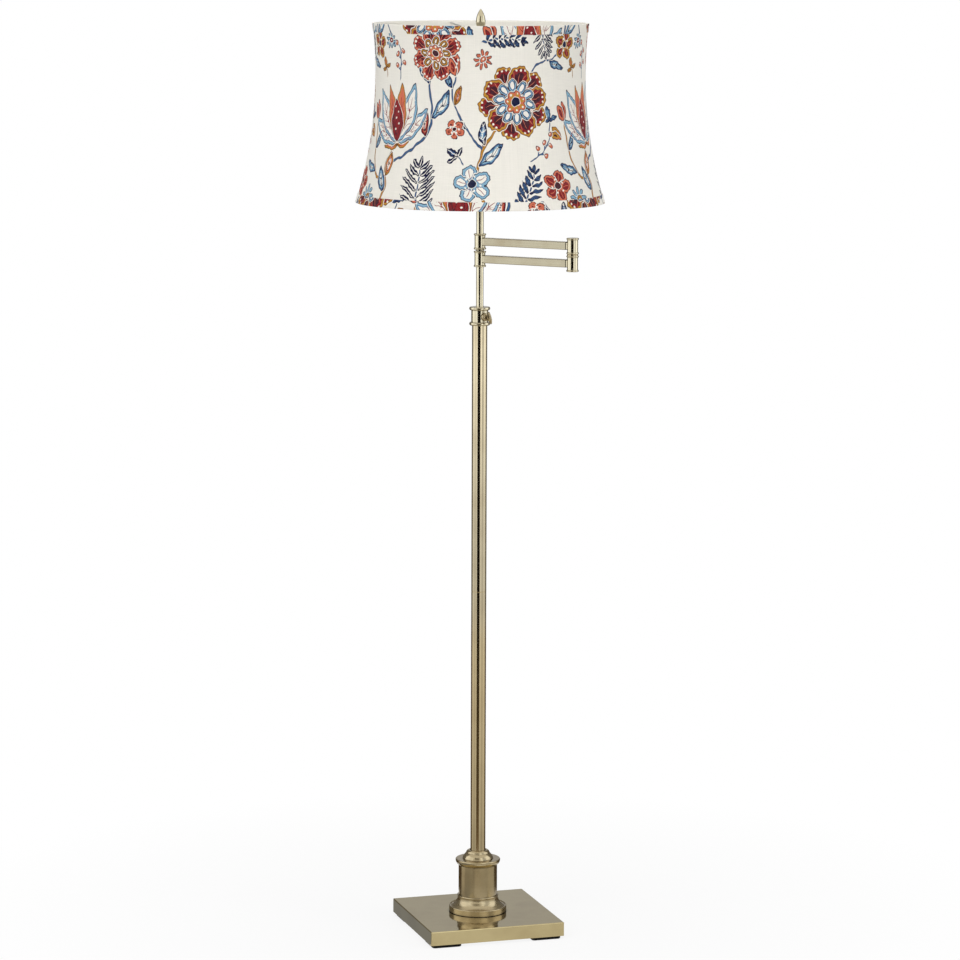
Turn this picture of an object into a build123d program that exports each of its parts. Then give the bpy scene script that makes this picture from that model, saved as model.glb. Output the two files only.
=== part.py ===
from build123d import *
import math
import os

# Swing arm floor lamp, in millimetres, standing on the floor at z = 0.
# The pole is the z axis, x runs along the front edge of the base and -y is the front.

# Fits shared by the whole lamp
fit_gap = 0.1            # clearance round a piece that is fixed in another
run_gap = 0.06           # radial clearance of a piece that turns or slides in another
face_gap = 0.05          # end play between faces that turn on each other

# Base
base_side = 229
base_height = 23
base_wall = 1.5
base_edge_radius = 1.6
plate_thickness = 1.5
pad_side = 50
pad_corner_radius = 6
pad_thickness = 5.6
pad_chamfer = 1.0
pad_inset = 4            # pad edge from each side of the base
plate_screw_spacing = 110
plate_screw_diameter = 4
plate_screw_depth = 8    # shank length inside the weight
plate_screw_head_diameter = 7.6
plate_screw_head_height = 2.2
cord_channel_width = 15
cord_channel_depth = 13
bushing_flange_diameter = 13
bushing_flange_thickness = 2.2
bushing_body_diameter = 10
bushing_bore_diameter = 7
bushing_barb_diameter = 11.5
bushing_barb_thickness = 1.4

# Threaded rod that draws the base, the pedestal and the pole together
rod_diameter = 9.7
rod_bore_diameter = 6.6
rod_hole_gap = 0.3
rod_tail = 1.5           # rod showing under the nut
nut_across_flats = 15
nut_height = 6
washer_diameter = 24
washer_thickness = 1.6
nut_recess_diameter = 29

# Turned pedestal
foot_spread = 15.7       # rim of the foot beyond the face of the column
foot_toe_height = 0.8    # recessed ring that the foot stands on
foot_toe_inset = 1.8
foot_band_height = 10.4  # base top to the top of the ridge
foot_ridge_round = 1.1
foot_ridge_rise = 0.9    # ridge above the shelf behind it
foot_ridge_width = 3.0
foot_cove_depth = 3.0    # hollow of the curve below its chord
foot_height = 25.6       # base top to the underside of the bead
bead_width = 2.2         # bead beyond the face of the column
bead_height = 2.8
column_diameter = 64.2
column_wall = 1.6
column_length = 53.6
column_ledge = 2.2       # width of the ledge that the column stands on, beyond its wall
cap_overhang = 5.1       # rim of the cap beyond the face of the column
cap_neck_height = 1.4    # recessed ring between the column and the lip
cap_neck_step = 0.4
cap_lip_step = 1.6       # underside of the lip beyond the face of the column
cap_lip_height = 9.2
cap_lip_swell = 0.9      # lip beyond its chord
cap_edge_round = 1.6
cap_spigot_height = 7
cap_spigot_wall = 3
cup_width = 12.9         # rim of the cup beyond the face of the pole
cup_rim_height = 0.8
cup_bell_height = 9.4    # cap top to the crease under the shoulder
cup_bell_swell = 0.9
cup_crease_width = 7.2   # crease beyond the face of the pole
cup_shoulder_width = 3.0
cup_shoulder_swell = 1.1
cup_height = 14.4
cup_mouth = 1.0          # bevel round the pole at the top of the cup

# Pole
pole_diameter = 25
pole_wall = 1.2
pole_edge_chamfer = 0.4
lower_pole_length = 451.8
upper_pole_length = 448
pole_plug_height = 18
coupling_length = 60
coupling_wall = 2.4

# Height lock at the top of the pole
collar_height = 30
collar_diameter = 27.8
collar_flange_diameter = 34.4
collar_flange_height = 5
collar_flange_bulge = 1.2
pole_seat_depth = 7
guide_bush_height = 11
guide_bush_wall = 2.2
riser_pass_gap = 0.6     # clearance of the bare collar bore round the riser
clamp_height = 14.5        # screw axis above the bottom of the collar
clamp_azimuth = -76      # direction of the screw, degrees from +x
clamp_pad_length = 2.4
screw_diameter = 6
screw_shoulder_diameter = 13
screw_shoulder_length = 4.6
screw_shoulder_gap = 0.6 # shoulder to collar while the riser is clamped
paddle_neck_width = 6
paddle_width = 21
paddle_length = 16.5
paddle_crown = 3.6       # rise of the rounded end of the paddle
paddle_thickness = 3.2
paddle_edge_round = 0.9
paddle_tilt = 14         # turn of the paddle about the screw, degrees

# Riser
riser_diameter = 12
riser_wall = 1.2
riser_length = 330
riser_exposed = 65.5     # riser showing between the collar and the lower hub
riser_insert = 4         # riser end hidden in the lower hub
riser_stop_height = 14

# Swing arms
arm_length = 170         # between hub axes
arm_azimuth = -46        # direction of the folded arms, degrees from +x
arm_width = 12.7
arm_wall = 1.2
arm_edge_radius = 1.2
arm_neck_length = 1.2    # reduced neck between a hub and the end of the tube
arm_neck_width = 9.6
arm_spigot_length = 9
cable_way_diameter = 5
hub_height = 26
hub_diameter = 17.6
hub_flange_diameter = 20.2
hub_flange_height = 3
hub_flange_bulge = 0.9
hub_gap = 2.4            # between the stacked hubs
hub_cap_diameter = 14
hub_cap_thickness = 2.2
pivot_diameter = 8
pivot_bore_diameter = 5
pivot_tail_length = 14   # pivot fixed in the riser
pivot_nut_diameter = 13.2
pivot_nut_height = 2
thrust_washer_thickness = 1
elbow_washer_diameter = 18
elbow_nut_height = 4.2
elbow_nut_diameter = 12.4

# Stem, harp and finial
stem_diameter = 12
stem_wall = 1.2
stem_length = 120
stem_insert = 8
nipple_wall = 1.5
nipple_length = 34
nipple_rise = 9          # nipple standing above the stem
saddle_width = 12
saddle_thickness = 1.6
saddle_tab_height = 12
saddle_tab_width = 4
harp_half_base = 29
harp_wire_diameter = 4.6
harp_height = 192        # foot of a leg to the centre of the top wire
harp_leg_length = 20
harp_flare = 30          # outward lean of the legs, degrees
harp_flat = 9            # half length of the straight top
ferrule_height = 14
ferrule_wall = 1.3
harp_sleeve_diameter = 7.6
harp_sleeve_length = 14
stud_flange_diameter = 13
stud_flange_thickness = 1.6
stud_diameter = 6.2
stud_length = 11
finial_height = 38
finial_diameter = 15.6
finial_base_diameter = 13
finial_base_height = 2.4
finial_neck_diameter = 8.6
finial_neck_height = 6
finial_shoulder_height = 16.4
finial_swell = 0.9       # side below the shoulder, beyond its chord
finial_tip_diameter = 1.2

# Lamp socket
socket_cap_height = 24
socket_cap_diameter = 34.4
socket_cap_base_diameter = 20
socket_cap_taper = 12
socket_wall = 0.9
socket_shell_height = 44
socket_shell_overlap = 6 # shell inside the cap
socket_rim_bulge = 0.8
insulator_wall = 0.6
socket_body_height = 18
screw_shell_bore = 26.4
screw_shell_wall = 0.7
screw_shell_height = 22
contact_diameter = 7
contact_height = 1.8     # depth of the well that the contact lies in
contact_well_diameter = 11
key_height = 10          # key axis above the bottom of the socket shell
key_shaft_diameter = 4
key_shaft_length = 19
key_knob_diameter = 12.6
key_knob_length = 13
key_start = 9            # inner end of the shaft from the lamp axis

# Shade: every layer is an arc about one centre outside the shade
shade_height = 287
shade_waist_radius = 170 # outer face of the cover at its narrowest
shade_curve_radius = 700
shade_waist_drop = 78    # narrowest level below the top
shade_cover_thickness = 0.8
shade_lining_thickness = 0.5
shade_wire_diameter = 2.4
shade_rib_diameter = 2.2 # thinner than the rings that the ribs are welded into
shade_wire_gap = 0.15
shade_trim_height = 13
shade_trim_thickness = 0.8
shade_trim_gap = 0.1
shade_ring_inset = 3     # ring wire centre from the rim
shade_lining_drop = 9    # lining below the top rim
rib_count = 8
spider_drop = 16         # spider hub below the top rim
spider_hub_diameter = 26
spider_hub_thickness = 1.6
spider_wire_diameter = 2.8
spider_count = 3
spoke_overlap = 4        # length of a spoke inside the hub
spoke_gap = 0.3          # between the end of a spoke and the top ring
spoke_slot_gap = 0.4     # round a spoke where it passes the top trim

parts = {}
up = (Align.CENTER, Align.CENTER, Align.MIN)


def rod(radius, z0, z1):
    # Round bar on the z axis
    return Pos(0, 0, z0) * Cylinder(radius, z1 - z0, align=up)


def tube(outer, inner, z0, z1):
    # Round tube on the z axis
    return rod(outer, z0, z1) - rod(inner, z0, z1)


def lathe(start, *steps):
    # Solid turned about the z axis; a step is a corner (r, z) or an arc ((r, z) halfway, (r, z) end)
    edges = []
    here = start
    for step in steps:
        if isinstance(step[0], tuple):
            edges.append(ThreePointArc(here, step[0], step[1]))
            here = step[1]
        else:
            edges.append(Line(here, step))
            here = step
    if math.dist(here, start) > 0.001:
        edges.append(Line(here, start))
    return revolve(Plane.XZ * make_face(edges), Axis.Z)


def swell(a, b, rise):
    # Arc step of a turned profile, up from a to b, that stands out from its chord, or in for a negative rise
    share = rise / math.dist(a, b)
    middle = ((a[0] + b[0]) / 2 + share * (b[1] - a[1]), (a[1] + b[1]) / 2 - share * (b[0] - a[0]))
    return middle, b


def radial(azimuth, height):
    # Frame with its z axis pointing outward from the lamp axis at a height, its x axis level
    out = Vector(math.cos(math.radians(azimuth)), math.sin(math.radians(azimuth)), 0)
    level = Vector(-out.Y, out.X, 0)
    return Plane(origin=(0, 0, height), x_dir=level, z_dir=out)


def flanged(radius, flange_radius, flange_height, bulge, height):
    # Round body with a rounded flange at each end, standing on z = 0
    low = flange_height
    high = height - flange_height
    return lathe(
        (0, 0),
        (flange_radius - bulge, 0),
        ((flange_radius, low / 2), (flange_radius - bulge, low)),
        (radius, low),
        (radius, high),
        (flange_radius - bulge, high),
        ((flange_radius, (high + height) / 2), (flange_radius - bulge, height)),
        (0, height),
    )


# Levels from the floor up
base_top = pad_thickness + base_height
plate_top = pad_thickness + plate_thickness
weight_top = base_top - base_wall
column_bottom = base_top + foot_height
column_top = column_bottom + column_length
cap_top = column_top + cap_neck_height + cap_lip_height
pole_joint = cap_top + lower_pole_length
pole_top = pole_joint + upper_pole_length
collar_bottom = pole_top - pole_seat_depth
collar_top = collar_bottom + collar_height
clamp_level = collar_bottom + clamp_height
lower_hub_bottom = collar_top + riser_exposed
lower_hub_top = lower_hub_bottom + hub_height
upper_hub_bottom = lower_hub_top + hub_gap
upper_hub_top = upper_hub_bottom + hub_height
lower_arm_level = lower_hub_bottom + hub_height / 2
upper_arm_level = upper_hub_bottom + hub_height / 2
riser_top = lower_hub_bottom + riser_insert
riser_bottom = riser_top - riser_length
stem_bottom = upper_hub_top - stem_insert
stem_top = stem_bottom + stem_length
saddle_top = stem_top + saddle_thickness
harp_bottom = saddle_top + saddle_tab_height + fit_gap
harp_top = harp_bottom + harp_height
stud_seat = harp_top + harp_sleeve_diameter / 2
spider_level = stud_seat + stud_flange_thickness
shade_top = spider_level + spider_drop
shade_bottom = shade_top - shade_height
finial_bottom = spider_level + spider_hub_thickness

# Shared radii
rod_radius = rod_diameter / 2
rod_hole = rod_radius + rod_hole_gap
column_radius = column_diameter / 2
pole_radius = pole_diameter / 2
pole_bore = pole_radius - pole_wall
riser_radius = riser_diameter / 2
riser_bore = riser_radius - riser_wall
pivot_radius = pivot_diameter / 2
pivot_bore = pivot_bore_diameter / 2
hub_radius = hub_diameter / 2
arm_turn = Rot(0, 0, arm_azimuth)

# Foot pads
pad_reach = base_side / 2 - pad_inset - pad_side / 2
pad = extrude(RectangleRounded(pad_side, pad_side, pad_corner_radius), pad_thickness)
pad = chamfer(pad.edges().group_by(Axis.Z)[0], pad_chamfer)
parts["foot_pads"] = Part() + [at * pad for at in GridLocations(2 * pad_reach, 2 * pad_reach, 2, 2)]

# Base cover, open below, with the cord hole in its rear wall
cavity_side = base_side - 2 * base_wall
bushing_level = plate_top + cord_channel_depth / 2
rear_face = Plane(origin=(0, base_side / 2, bushing_level), x_dir=(1, 0, 0), z_dir=(0, 1, 0))
cover = Pos(0, 0, pad_thickness) * Box(base_side, base_side, base_height, align=up)
cover = fillet(cover.edges().filter_by(Axis.Z) + cover.edges().group_by(Axis.Z)[-1], base_edge_radius)
cover -= Pos(0, 0, pad_thickness) * Box(cavity_side, cavity_side, base_height - base_wall, align=up)
cover -= rod(rod_hole, pad_thickness, base_top)
cover -= rear_face * Cylinder(bushing_body_diameter / 2 + fit_gap, 4 * base_wall)
parts["base_cover"] = cover

# Bottom plate and the screws that hold it to the weight
screw_places = GridLocations(plate_screw_spacing, plate_screw_spacing, 2, 2)
screw_radius = plate_screw_diameter / 2
plate_side = cavity_side - 2 * fit_gap
plate = Pos(0, 0, pad_thickness) * Box(plate_side, plate_side, plate_thickness, align=up)
plate_screw = rod(screw_radius, pad_thickness, plate_top + plate_screw_depth)
plate_screw += rod(plate_screw_head_diameter / 2, pad_thickness - plate_screw_head_height, pad_thickness)
plate_hole = rod(screw_radius + fit_gap, pad_thickness, plate_top + plate_screw_depth + 1)
plate -= [at * plate_hole for at in screw_places]
parts["bottom_plate"] = plate
parts["plate_screws"] = Part() + [at * plate_screw for at in screw_places]

# Cast weight with the nut recess and the cord channel underneath
recess_roof = plate_top + rod_tail + nut_height + washer_thickness + 1
weight = Pos(0, 0, plate_top) * Box(plate_side, plate_side, weight_top - plate_top, align=up)
weight -= rod(nut_recess_diameter / 2, plate_top, recess_roof)
weight -= rod(rod_hole, plate_top, weight_top)
weight -= Pos(0, plate_side / 4, plate_top) * Box(
    cord_channel_width, plate_side / 2, cord_channel_depth, align=up)
weight -= [at * plate_hole for at in screw_places]
parts["base_weight"] = weight

# Cord bushing through the rear wall
bushing = rear_face * (
    Cylinder(bushing_flange_diameter / 2, bushing_flange_thickness, align=up)
    + Pos(0, 0, -base_wall) * Cylinder(bushing_body_diameter / 2, base_wall, align=up)
    + Pos(0, 0, -base_wall - bushing_barb_thickness)
    * Cylinder(bushing_barb_diameter / 2, bushing_barb_thickness, align=up)
)
bushing -= rear_face * Cylinder(bushing_bore_diameter / 2, 4 * (base_wall + bushing_flange_thickness))
parts["cord_bushing"] = bushing

# Threaded rod, washer and nut
nut_top = recess_roof - washer_thickness
rod_top = cap_top + pole_plug_height
parts["base_rod"] = tube(rod_radius, rod_bore_diameter / 2, nut_top - nut_height - rod_tail, rod_top)
parts["base_washer"] = tube(washer_diameter / 2, rod_hole, nut_top, recess_roof)
nut = extrude(RegularPolygon(nut_across_flats / 2, 6, major_radius=False), nut_height)
parts["base_nut"] = Pos(0, 0, nut_top - nut_height) * nut - rod(rod_radius + fit_gap, 0, nut_top)

# Pedestal foot: banded ring with a ridge, hollow curve and a bead round the foot of the column
foot_radius = column_radius + foot_spread
toe = (foot_radius - foot_toe_inset, base_top + foot_toe_height)
ridge_top = base_top + foot_band_height
ridge = (foot_radius - foot_ridge_round, ridge_top)
ridge_corner = foot_ridge_round * (1 - math.sqrt(0.5))
shelf = (foot_radius - foot_ridge_width, ridge_top - foot_ridge_rise)
bead_radius = column_radius + bead_width
throat = (bead_radius - bead_height / 4, column_bottom)
bead_top = column_bottom + bead_height
ledge_bore = column_radius - column_wall - column_ledge
parts["pedestal_foot"] = lathe(
    (ledge_bore, base_top),
    (toe[0], base_top),
    toe,
    (foot_radius, toe[1]),
    (foot_radius, ridge_top - foot_ridge_round),
    ((foot_radius - ridge_corner, ridge_top - ridge_corner), ridge),
    shelf,
    swell(shelf, throat, -foot_cove_depth),
    ((bead_radius, column_bottom + bead_height / 2), (throat[0], bead_top)),
    (column_radius + fit_gap, bead_top),
    (column_radius + fit_gap, column_bottom),
    (ledge_bore, column_bottom),
)

# Pedestal column
parts["pedestal_column"] = tube(column_radius, column_radius - column_wall, column_bottom, column_top)

# Pedestal cap with its spigot in the column: recessed neck, rounded lip and flat top
cap_radius = column_radius + cap_overhang
spigot_radius = column_radius - column_wall - fit_gap
neck_top = column_top + cap_neck_height
lip = (column_radius + cap_lip_step, neck_top)
cap_corner = cap_edge_round * (1 - math.sqrt(0.5))
parts["pedestal_cap"] = lathe(
    (rod_hole, column_top),
    (spigot_radius - cap_spigot_wall, column_top),
    (spigot_radius - cap_spigot_wall, column_top - cap_spigot_height),
    (spigot_radius, column_top - cap_spigot_height),
    (spigot_radius, column_top),
    (column_radius - cap_neck_step, column_top),
    (column_radius - cap_neck_step, neck_top),
    lip,
    swell(lip, (cap_radius, cap_top - cap_edge_round), cap_lip_swell),
    ((cap_radius - cap_corner, cap_top - cap_corner), (cap_radius - cap_edge_round, cap_top)),
    (rod_hole, cap_top),
)

# Cup round the foot of the pole: bell, crease and rounded shoulder
cup_top = cap_top + cup_height
cup_rim = (pole_radius + cup_width, cap_top + cup_rim_height)
crease = (pole_radius + cup_crease_width, cap_top + cup_bell_height)
cup_shoulder = (pole_radius + cup_shoulder_width, cup_top)
parts["pole_cup"] = lathe(
    (pole_radius + fit_gap, cap_top),
    (cup_rim[0], cap_top),
    cup_rim,
    swell(cup_rim, crease, cup_bell_swell),
    swell(crease, cup_shoulder, cup_shoulder_swell),
    (pole_radius + cup_mouth, cup_top),
    (pole_radius + fit_gap, cup_top - cup_mouth),
)

# Pole in two lengths, the plug in its foot and the coupling across its joint
plug_radius = pole_bore - fit_gap
parts["pole_plug"] = tube(plug_radius, rod_radius + fit_gap, cap_top, cap_top + pole_plug_height)


def pole_length(z0, z1):
    return lathe(
        (pole_bore, z0),
        (pole_radius - pole_edge_chamfer, z0),
        (pole_radius, z0 + pole_edge_chamfer),
        (pole_radius, z1 - pole_edge_chamfer),
        (pole_radius - pole_edge_chamfer, z1),
        (pole_bore, z1),
    )


parts["lower_pole"] = pole_length(cap_top, pole_joint)
parts["upper_pole"] = pole_length(pole_joint, pole_top)
coupling_half = coupling_length / 2
parts["pole_coupling"] = tube(
    plug_radius, plug_radius - coupling_wall, pole_joint - coupling_half, pole_joint + coupling_half)

# Lock collar
bush_outer = riser_radius + run_gap + guide_bush_wall
bush_bottom = collar_top - guide_bush_height
clamp_frame = radial(clamp_azimuth, clamp_level)
collar = Pos(0, 0, collar_bottom) * flanged(
    collar_diameter / 2, collar_flange_diameter / 2, collar_flange_height, collar_flange_bulge,
    collar_height)
collar -= rod(pole_radius + fit_gap, collar_bottom, pole_top)
collar -= rod(riser_radius + riser_pass_gap, collar_bottom, collar_top)
collar -= rod(bush_outer + fit_gap, bush_bottom, collar_top)
collar -= clamp_frame * Cylinder(screw_diameter / 2 + run_gap, collar_diameter, align=up)
parts["lock_collar"] = collar
parts["guide_bush"] = tube(bush_outer, riser_radius + run_gap, bush_bottom, collar_top)

# Clamp pad and thumb screw, drawn on the screw axis
pad_start = riser_radius + face_gap
pad_end = pad_start + clamp_pad_length
shoulder_start = collar_diameter / 2 + screw_shoulder_gap
shoulder_end = shoulder_start + screw_shoulder_length
shoulder_radius = screw_shoulder_diameter / 2
parts["clamp_pad"] = clamp_frame * rod(screw_diameter / 2 - fit_gap, pad_start, pad_end)
turned = lathe(
    (0, pad_end),
    (screw_diameter / 2, pad_end),
    (screw_diameter / 2, shoulder_start),
    (shoulder_radius - 1.2, shoulder_start),
    ((shoulder_radius, (shoulder_start + shoulder_end) / 2), (shoulder_radius - 1.2, shoulder_end)),
    ((paddle_neck_width / 2 + 1, shoulder_end + 0.5), (paddle_neck_width / 2, shoulder_end + 2)),
    (paddle_neck_width / 2, shoulder_end + 3),
    (0, shoulder_end + 3),
)
half = paddle_width / 2
waist = paddle_neck_width / 2
tip = shoulder_end + paddle_length
corner = tip - paddle_crown
foot = shoulder_end + 1
bend = (waist + 0.3 * (half - waist), foot + 0.5 * (corner - foot))
outline = [
    Line((-waist, foot), (waist, foot)),
    ThreePointArc((waist, foot), bend, (half, corner)),
    ThreePointArc((half, corner), (0, tip), (-half, corner)),
    ThreePointArc((-half, corner), (-bend[0], bend[1]), (-waist, foot)),
]
blade = extrude(Plane.XZ * make_face(outline), paddle_thickness / 2, both=True)
blade = fillet(blade.edges().filter_by(GeomType.CIRCLE), paddle_edge_round)
parts["thumb_screw"] = clamp_frame * Rot(0, 0, 90 + paddle_tilt) * (turned + blade)

# Riser, its stop bush and the lower pivot
washer_bottom = riser_top
washer_top = riser_top + thrust_washer_thickness
pivot_top = lower_hub_top + face_gap + pivot_nut_height
parts["riser_tube"] = tube(riser_radius, riser_bore, riser_bottom, riser_top)
parts["riser_stop"] = tube(
    pole_bore - run_gap, riser_radius + fit_gap, riser_bottom, riser_bottom + riser_stop_height)
pivot = rod(riser_bore - fit_gap, riser_top - pivot_tail_length, riser_top)
pivot += rod(pivot_radius, riser_top, pivot_top)
pivot -= rod(pivot_bore, riser_top - pivot_tail_length, pivot_top)
window = Rot(0, 90, 0) * Cylinder(pivot_bore, pivot_diameter)
pivot -= arm_turn * Pos(pivot_radius, 0, lower_arm_level) * window
parts["lower_pivot"] = pivot
parts["thrust_washer"] = tube(riser_radius, pivot_radius + fit_gap, washer_bottom, washer_top)
parts["pivot_nut"] = tube(
    pivot_nut_diameter / 2, pivot_radius + fit_gap, lower_hub_top + face_gap, pivot_top)

# Hubs and arms lie along x here and turn together to the arm direction
cap_radius_small = hub_cap_diameter / 2
hub_turn_bore = pivot_radius + run_gap
hub_fixed_bore = pivot_radius + fit_gap
tube_inner = arm_width - 2 * arm_wall
spigot_width = tube_inner - 2 * fit_gap
tube_start = hub_radius + arm_neck_length


def hub(x, z, toward):
    # Hub blank with its neck and spigot pointing along x, and the cable way through them
    blank = Pos(x, 0, z) * flanged(
        hub_radius, hub_flange_diameter / 2, hub_flange_height, hub_flange_bulge, hub_height)
    middle = z + hub_height / 2
    reach = tube_start + arm_spigot_length
    spigot = Pos(x + toward * reach / 2, 0, middle) * Box(reach, spigot_width, spigot_width)
    neck_bar = Pos(x + toward * tube_start / 2, 0, middle) * Box(tube_start, arm_neck_width, arm_neck_width)
    way = Pos(x + toward * reach / 2, 0, middle) * Rot(0, 90, 0) * Cylinder(cable_way_diameter / 2, reach)
    return blank + spigot + neck_bar - way


def arm(level):
    # Square tube between two hubs
    span = arm_length - 2 * tube_start
    bar = Pos(arm_length / 2, 0, level) * Box(span, arm_width, arm_width)
    bar = fillet(bar.edges().filter_by(Axis.X), arm_edge_radius)
    return bar - Pos(arm_length / 2, 0, level) * Box(span, tube_inner, tube_inner)


def bore(x, radius, z0, z1):
    return Pos(x, 0, 0) * rod(radius, z0, z1)


far = arm_length
seat_roof = washer_top + face_gap
lower_hub = hub(0, lower_hub_bottom, 1)
lower_hub -= bore(0, riser_radius + run_gap, lower_hub_bottom, seat_roof)
lower_hub -= bore(0, hub_turn_bore, lower_hub_bottom, lower_hub_top)
parts["lower_hub"] = arm_turn * lower_hub
parts["lower_arm"] = arm_turn * arm(lower_arm_level)

elbow_cap_roof = lower_hub_bottom + hub_cap_thickness + fit_gap
elbow_pivot_bottom = elbow_cap_roof + 1
elbow_lower = hub(far, lower_hub_bottom, -1)
elbow_lower -= bore(far, cap_radius_small + fit_gap, lower_hub_bottom, elbow_cap_roof)
elbow_lower -= bore(far, hub_fixed_bore, lower_hub_bottom, lower_hub_top)
parts["elbow_lower_hub"] = arm_turn * elbow_lower
parts["elbow_bottom_cap"] = arm_turn * bore(
    far, cap_radius_small, lower_hub_bottom, lower_hub_bottom + hub_cap_thickness)
parts["elbow_washer"] = arm_turn * Pos(far, 0, 0) * tube(
    elbow_washer_diameter / 2, hub_fixed_bore, lower_hub_top, upper_hub_bottom - face_gap)

cap_seat = upper_hub_top - hub_cap_thickness - fit_gap
elbow_nut_bottom = cap_seat - elbow_nut_height
elbow_pivot = bore(far, pivot_radius, elbow_pivot_bottom, cap_seat - fit_gap)
elbow_pivot -= bore(far, pivot_bore, elbow_pivot_bottom, cap_seat)
for level in (lower_arm_level, upper_arm_level):
    elbow_pivot -= Pos(far - pivot_radius, 0, level) * window
parts["elbow_pivot"] = arm_turn * elbow_pivot
parts["elbow_nut"] = arm_turn * Pos(far, 0, 0) * tube(
    elbow_nut_diameter / 2, hub_fixed_bore, elbow_nut_bottom + face_gap, cap_seat - fit_gap)

elbow_upper = hub(far, upper_hub_bottom, -1)
elbow_upper -= bore(far, hub_turn_bore, upper_hub_bottom, upper_hub_top)
elbow_upper -= bore(far, cap_radius_small + fit_gap, elbow_nut_bottom, upper_hub_top)
parts["elbow_upper_hub"] = arm_turn * elbow_upper
parts["elbow_top_cap"] = arm_turn * bore(
    far, cap_radius_small, upper_hub_top - hub_cap_thickness, upper_hub_top)
parts["upper_arm"] = arm_turn * arm(upper_arm_level)

stem_radius = stem_diameter / 2
plug_roof = upper_hub_bottom + hub_cap_thickness + fit_gap
upper_hub = hub(0, upper_hub_bottom, 1)
upper_hub -= bore(0, stem_radius + fit_gap, stem_bottom, upper_hub_top)
upper_hub -= bore(0, pivot_radius, upper_hub_bottom, upper_hub_top)
upper_hub -= bore(0, cap_radius_small + fit_gap, upper_hub_bottom, plug_roof)
parts["upper_hub"] = arm_turn * upper_hub
parts["upper_hub_plug"] = bore(0, cap_radius_small, upper_hub_bottom, upper_hub_bottom + hub_cap_thickness)

# Stem and the nipple that carries the saddle and the socket
nipple_radius = stem_radius - stem_wall - fit_gap
parts["stem_tube"] = tube(stem_radius, stem_radius - stem_wall, stem_bottom, stem_top)
nipple_top = stem_top + nipple_rise
parts["stem_nipple"] = tube(
    nipple_radius, nipple_radius - nipple_wall, nipple_top - nipple_length, nipple_top)

# Harp saddle
saddle_length = 2 * harp_half_base + saddle_thickness
saddle = Pos(0, 0, stem_top) * Box(saddle_length, saddle_width, saddle_thickness, align=up)
tab_height = saddle_thickness + saddle_tab_height
saddle += [
    Pos(side * harp_half_base, 0, stem_top) * Box(saddle_thickness, saddle_tab_width, tab_height, align=up)
    for side in (-1, 1)
]
saddle -= rod(nipple_radius + fit_gap, stem_top, saddle_top)
parts["harp_saddle"] = saddle

# Harp: each side is a leg, an outward arc and an inward arc that meets the straight top
lean = math.radians(harp_flare)
cos_lean = math.cos(lean)
sin_lean = math.sin(lean)
curve_rise = harp_height - harp_leg_length
inset = harp_half_base - harp_flat
out_radius = (curve_rise - (1 + sin_lean) * inset / cos_lean) / (
    sin_lean + (1 + sin_lean) * (1 - cos_lean) / cos_lean)
in_radius = (inset + out_radius * (1 - cos_lean)) / cos_lean


def harp_side(side):
    # Centre line points from the foot of a leg to the middle of the top
    leg_end = (harp_half_base, harp_bottom + harp_leg_length)
    half_lean = lean / 2
    out_mid = (
        leg_end[0] + out_radius * (1 - math.cos(half_lean)),
        leg_end[1] + out_radius * math.sin(half_lean),
    )
    out_end = (leg_end[0] + out_radius * (1 - cos_lean), leg_end[1] + out_radius * sin_lean)
    centre = (out_end[0] - in_radius * cos_lean, out_end[1] + in_radius * sin_lean)
    half_turn = (math.pi / 2 - lean) / 2
    in_mid = (centre[0] + in_radius * math.cos(half_turn), centre[1] + in_radius * math.sin(half_turn))
    in_end = (harp_flat, harp_top)
    return [(side * x, 0, z) for x, z in (leg_end, out_mid, out_end, in_mid, in_end)]


right = harp_side(1)
left = harp_side(-1)
harp_line = [
    Line((harp_half_base, 0, harp_bottom), right[0]),
    ThreePointArc(right[0], right[1], right[2]),
    ThreePointArc(right[2], right[3], right[4]),
    Line(right[4], left[4]),
    ThreePointArc(left[4], left[3], left[2]),
    ThreePointArc(left[2], left[1], left[0]),
    Line(left[0], (-harp_half_base, 0, harp_bottom)),
]
harp_wire = harp_wire_diameter / 2
harp_section = Pos(harp_half_base, 0, harp_bottom) * Circle(harp_wire)
parts["harp"] = sweep(harp_section, Wire(harp_line))
ferrule_bore = harp_wire + fit_gap
ferrule_bottom = harp_bottom - ferrule_height / 2
ferrule = tube(ferrule_bore + ferrule_wall, ferrule_bore, ferrule_bottom, ferrule_bottom + ferrule_height)
parts["harp_ferrules"] = Part() + [Pos(side * harp_half_base, 0, 0) * ferrule for side in (-1, 1)]

# Threaded stud swaged on the top of the harp, and the finial on it
along = Pos(0, 0, harp_top) * Rot(0, 90, 0)
stud = along * Cylinder(harp_sleeve_diameter / 2, harp_sleeve_length)
stud += rod(stud_flange_diameter / 2, stud_seat, spider_level)
stud += rod(stud_flange_diameter / 4, harp_top, spider_level)
stud += rod(stud_diameter / 2, spider_level, spider_level + stud_length)
stud -= along * Cylinder(harp_wire + fit_gap, harp_sleeve_length)
parts["harp_stud"] = stud
finial_radius = finial_diameter / 2
shoulder = finial_bottom + finial_shoulder_height
finial_top = finial_bottom + finial_height
waist = (finial_neck_diameter / 2, finial_bottom + finial_neck_height)
ogive_height = finial_top - shoulder
ogive_width = finial_radius - finial_tip_diameter / 2
ogive_radius = (ogive_height ** 2 + ogive_width ** 2) / (2 * ogive_width)
half_turn = math.asin(ogive_height / ogive_radius) / 2
ogive_middle = (
    finial_radius - ogive_radius * (1 - math.cos(half_turn)), shoulder + ogive_radius * math.sin(half_turn))
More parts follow.
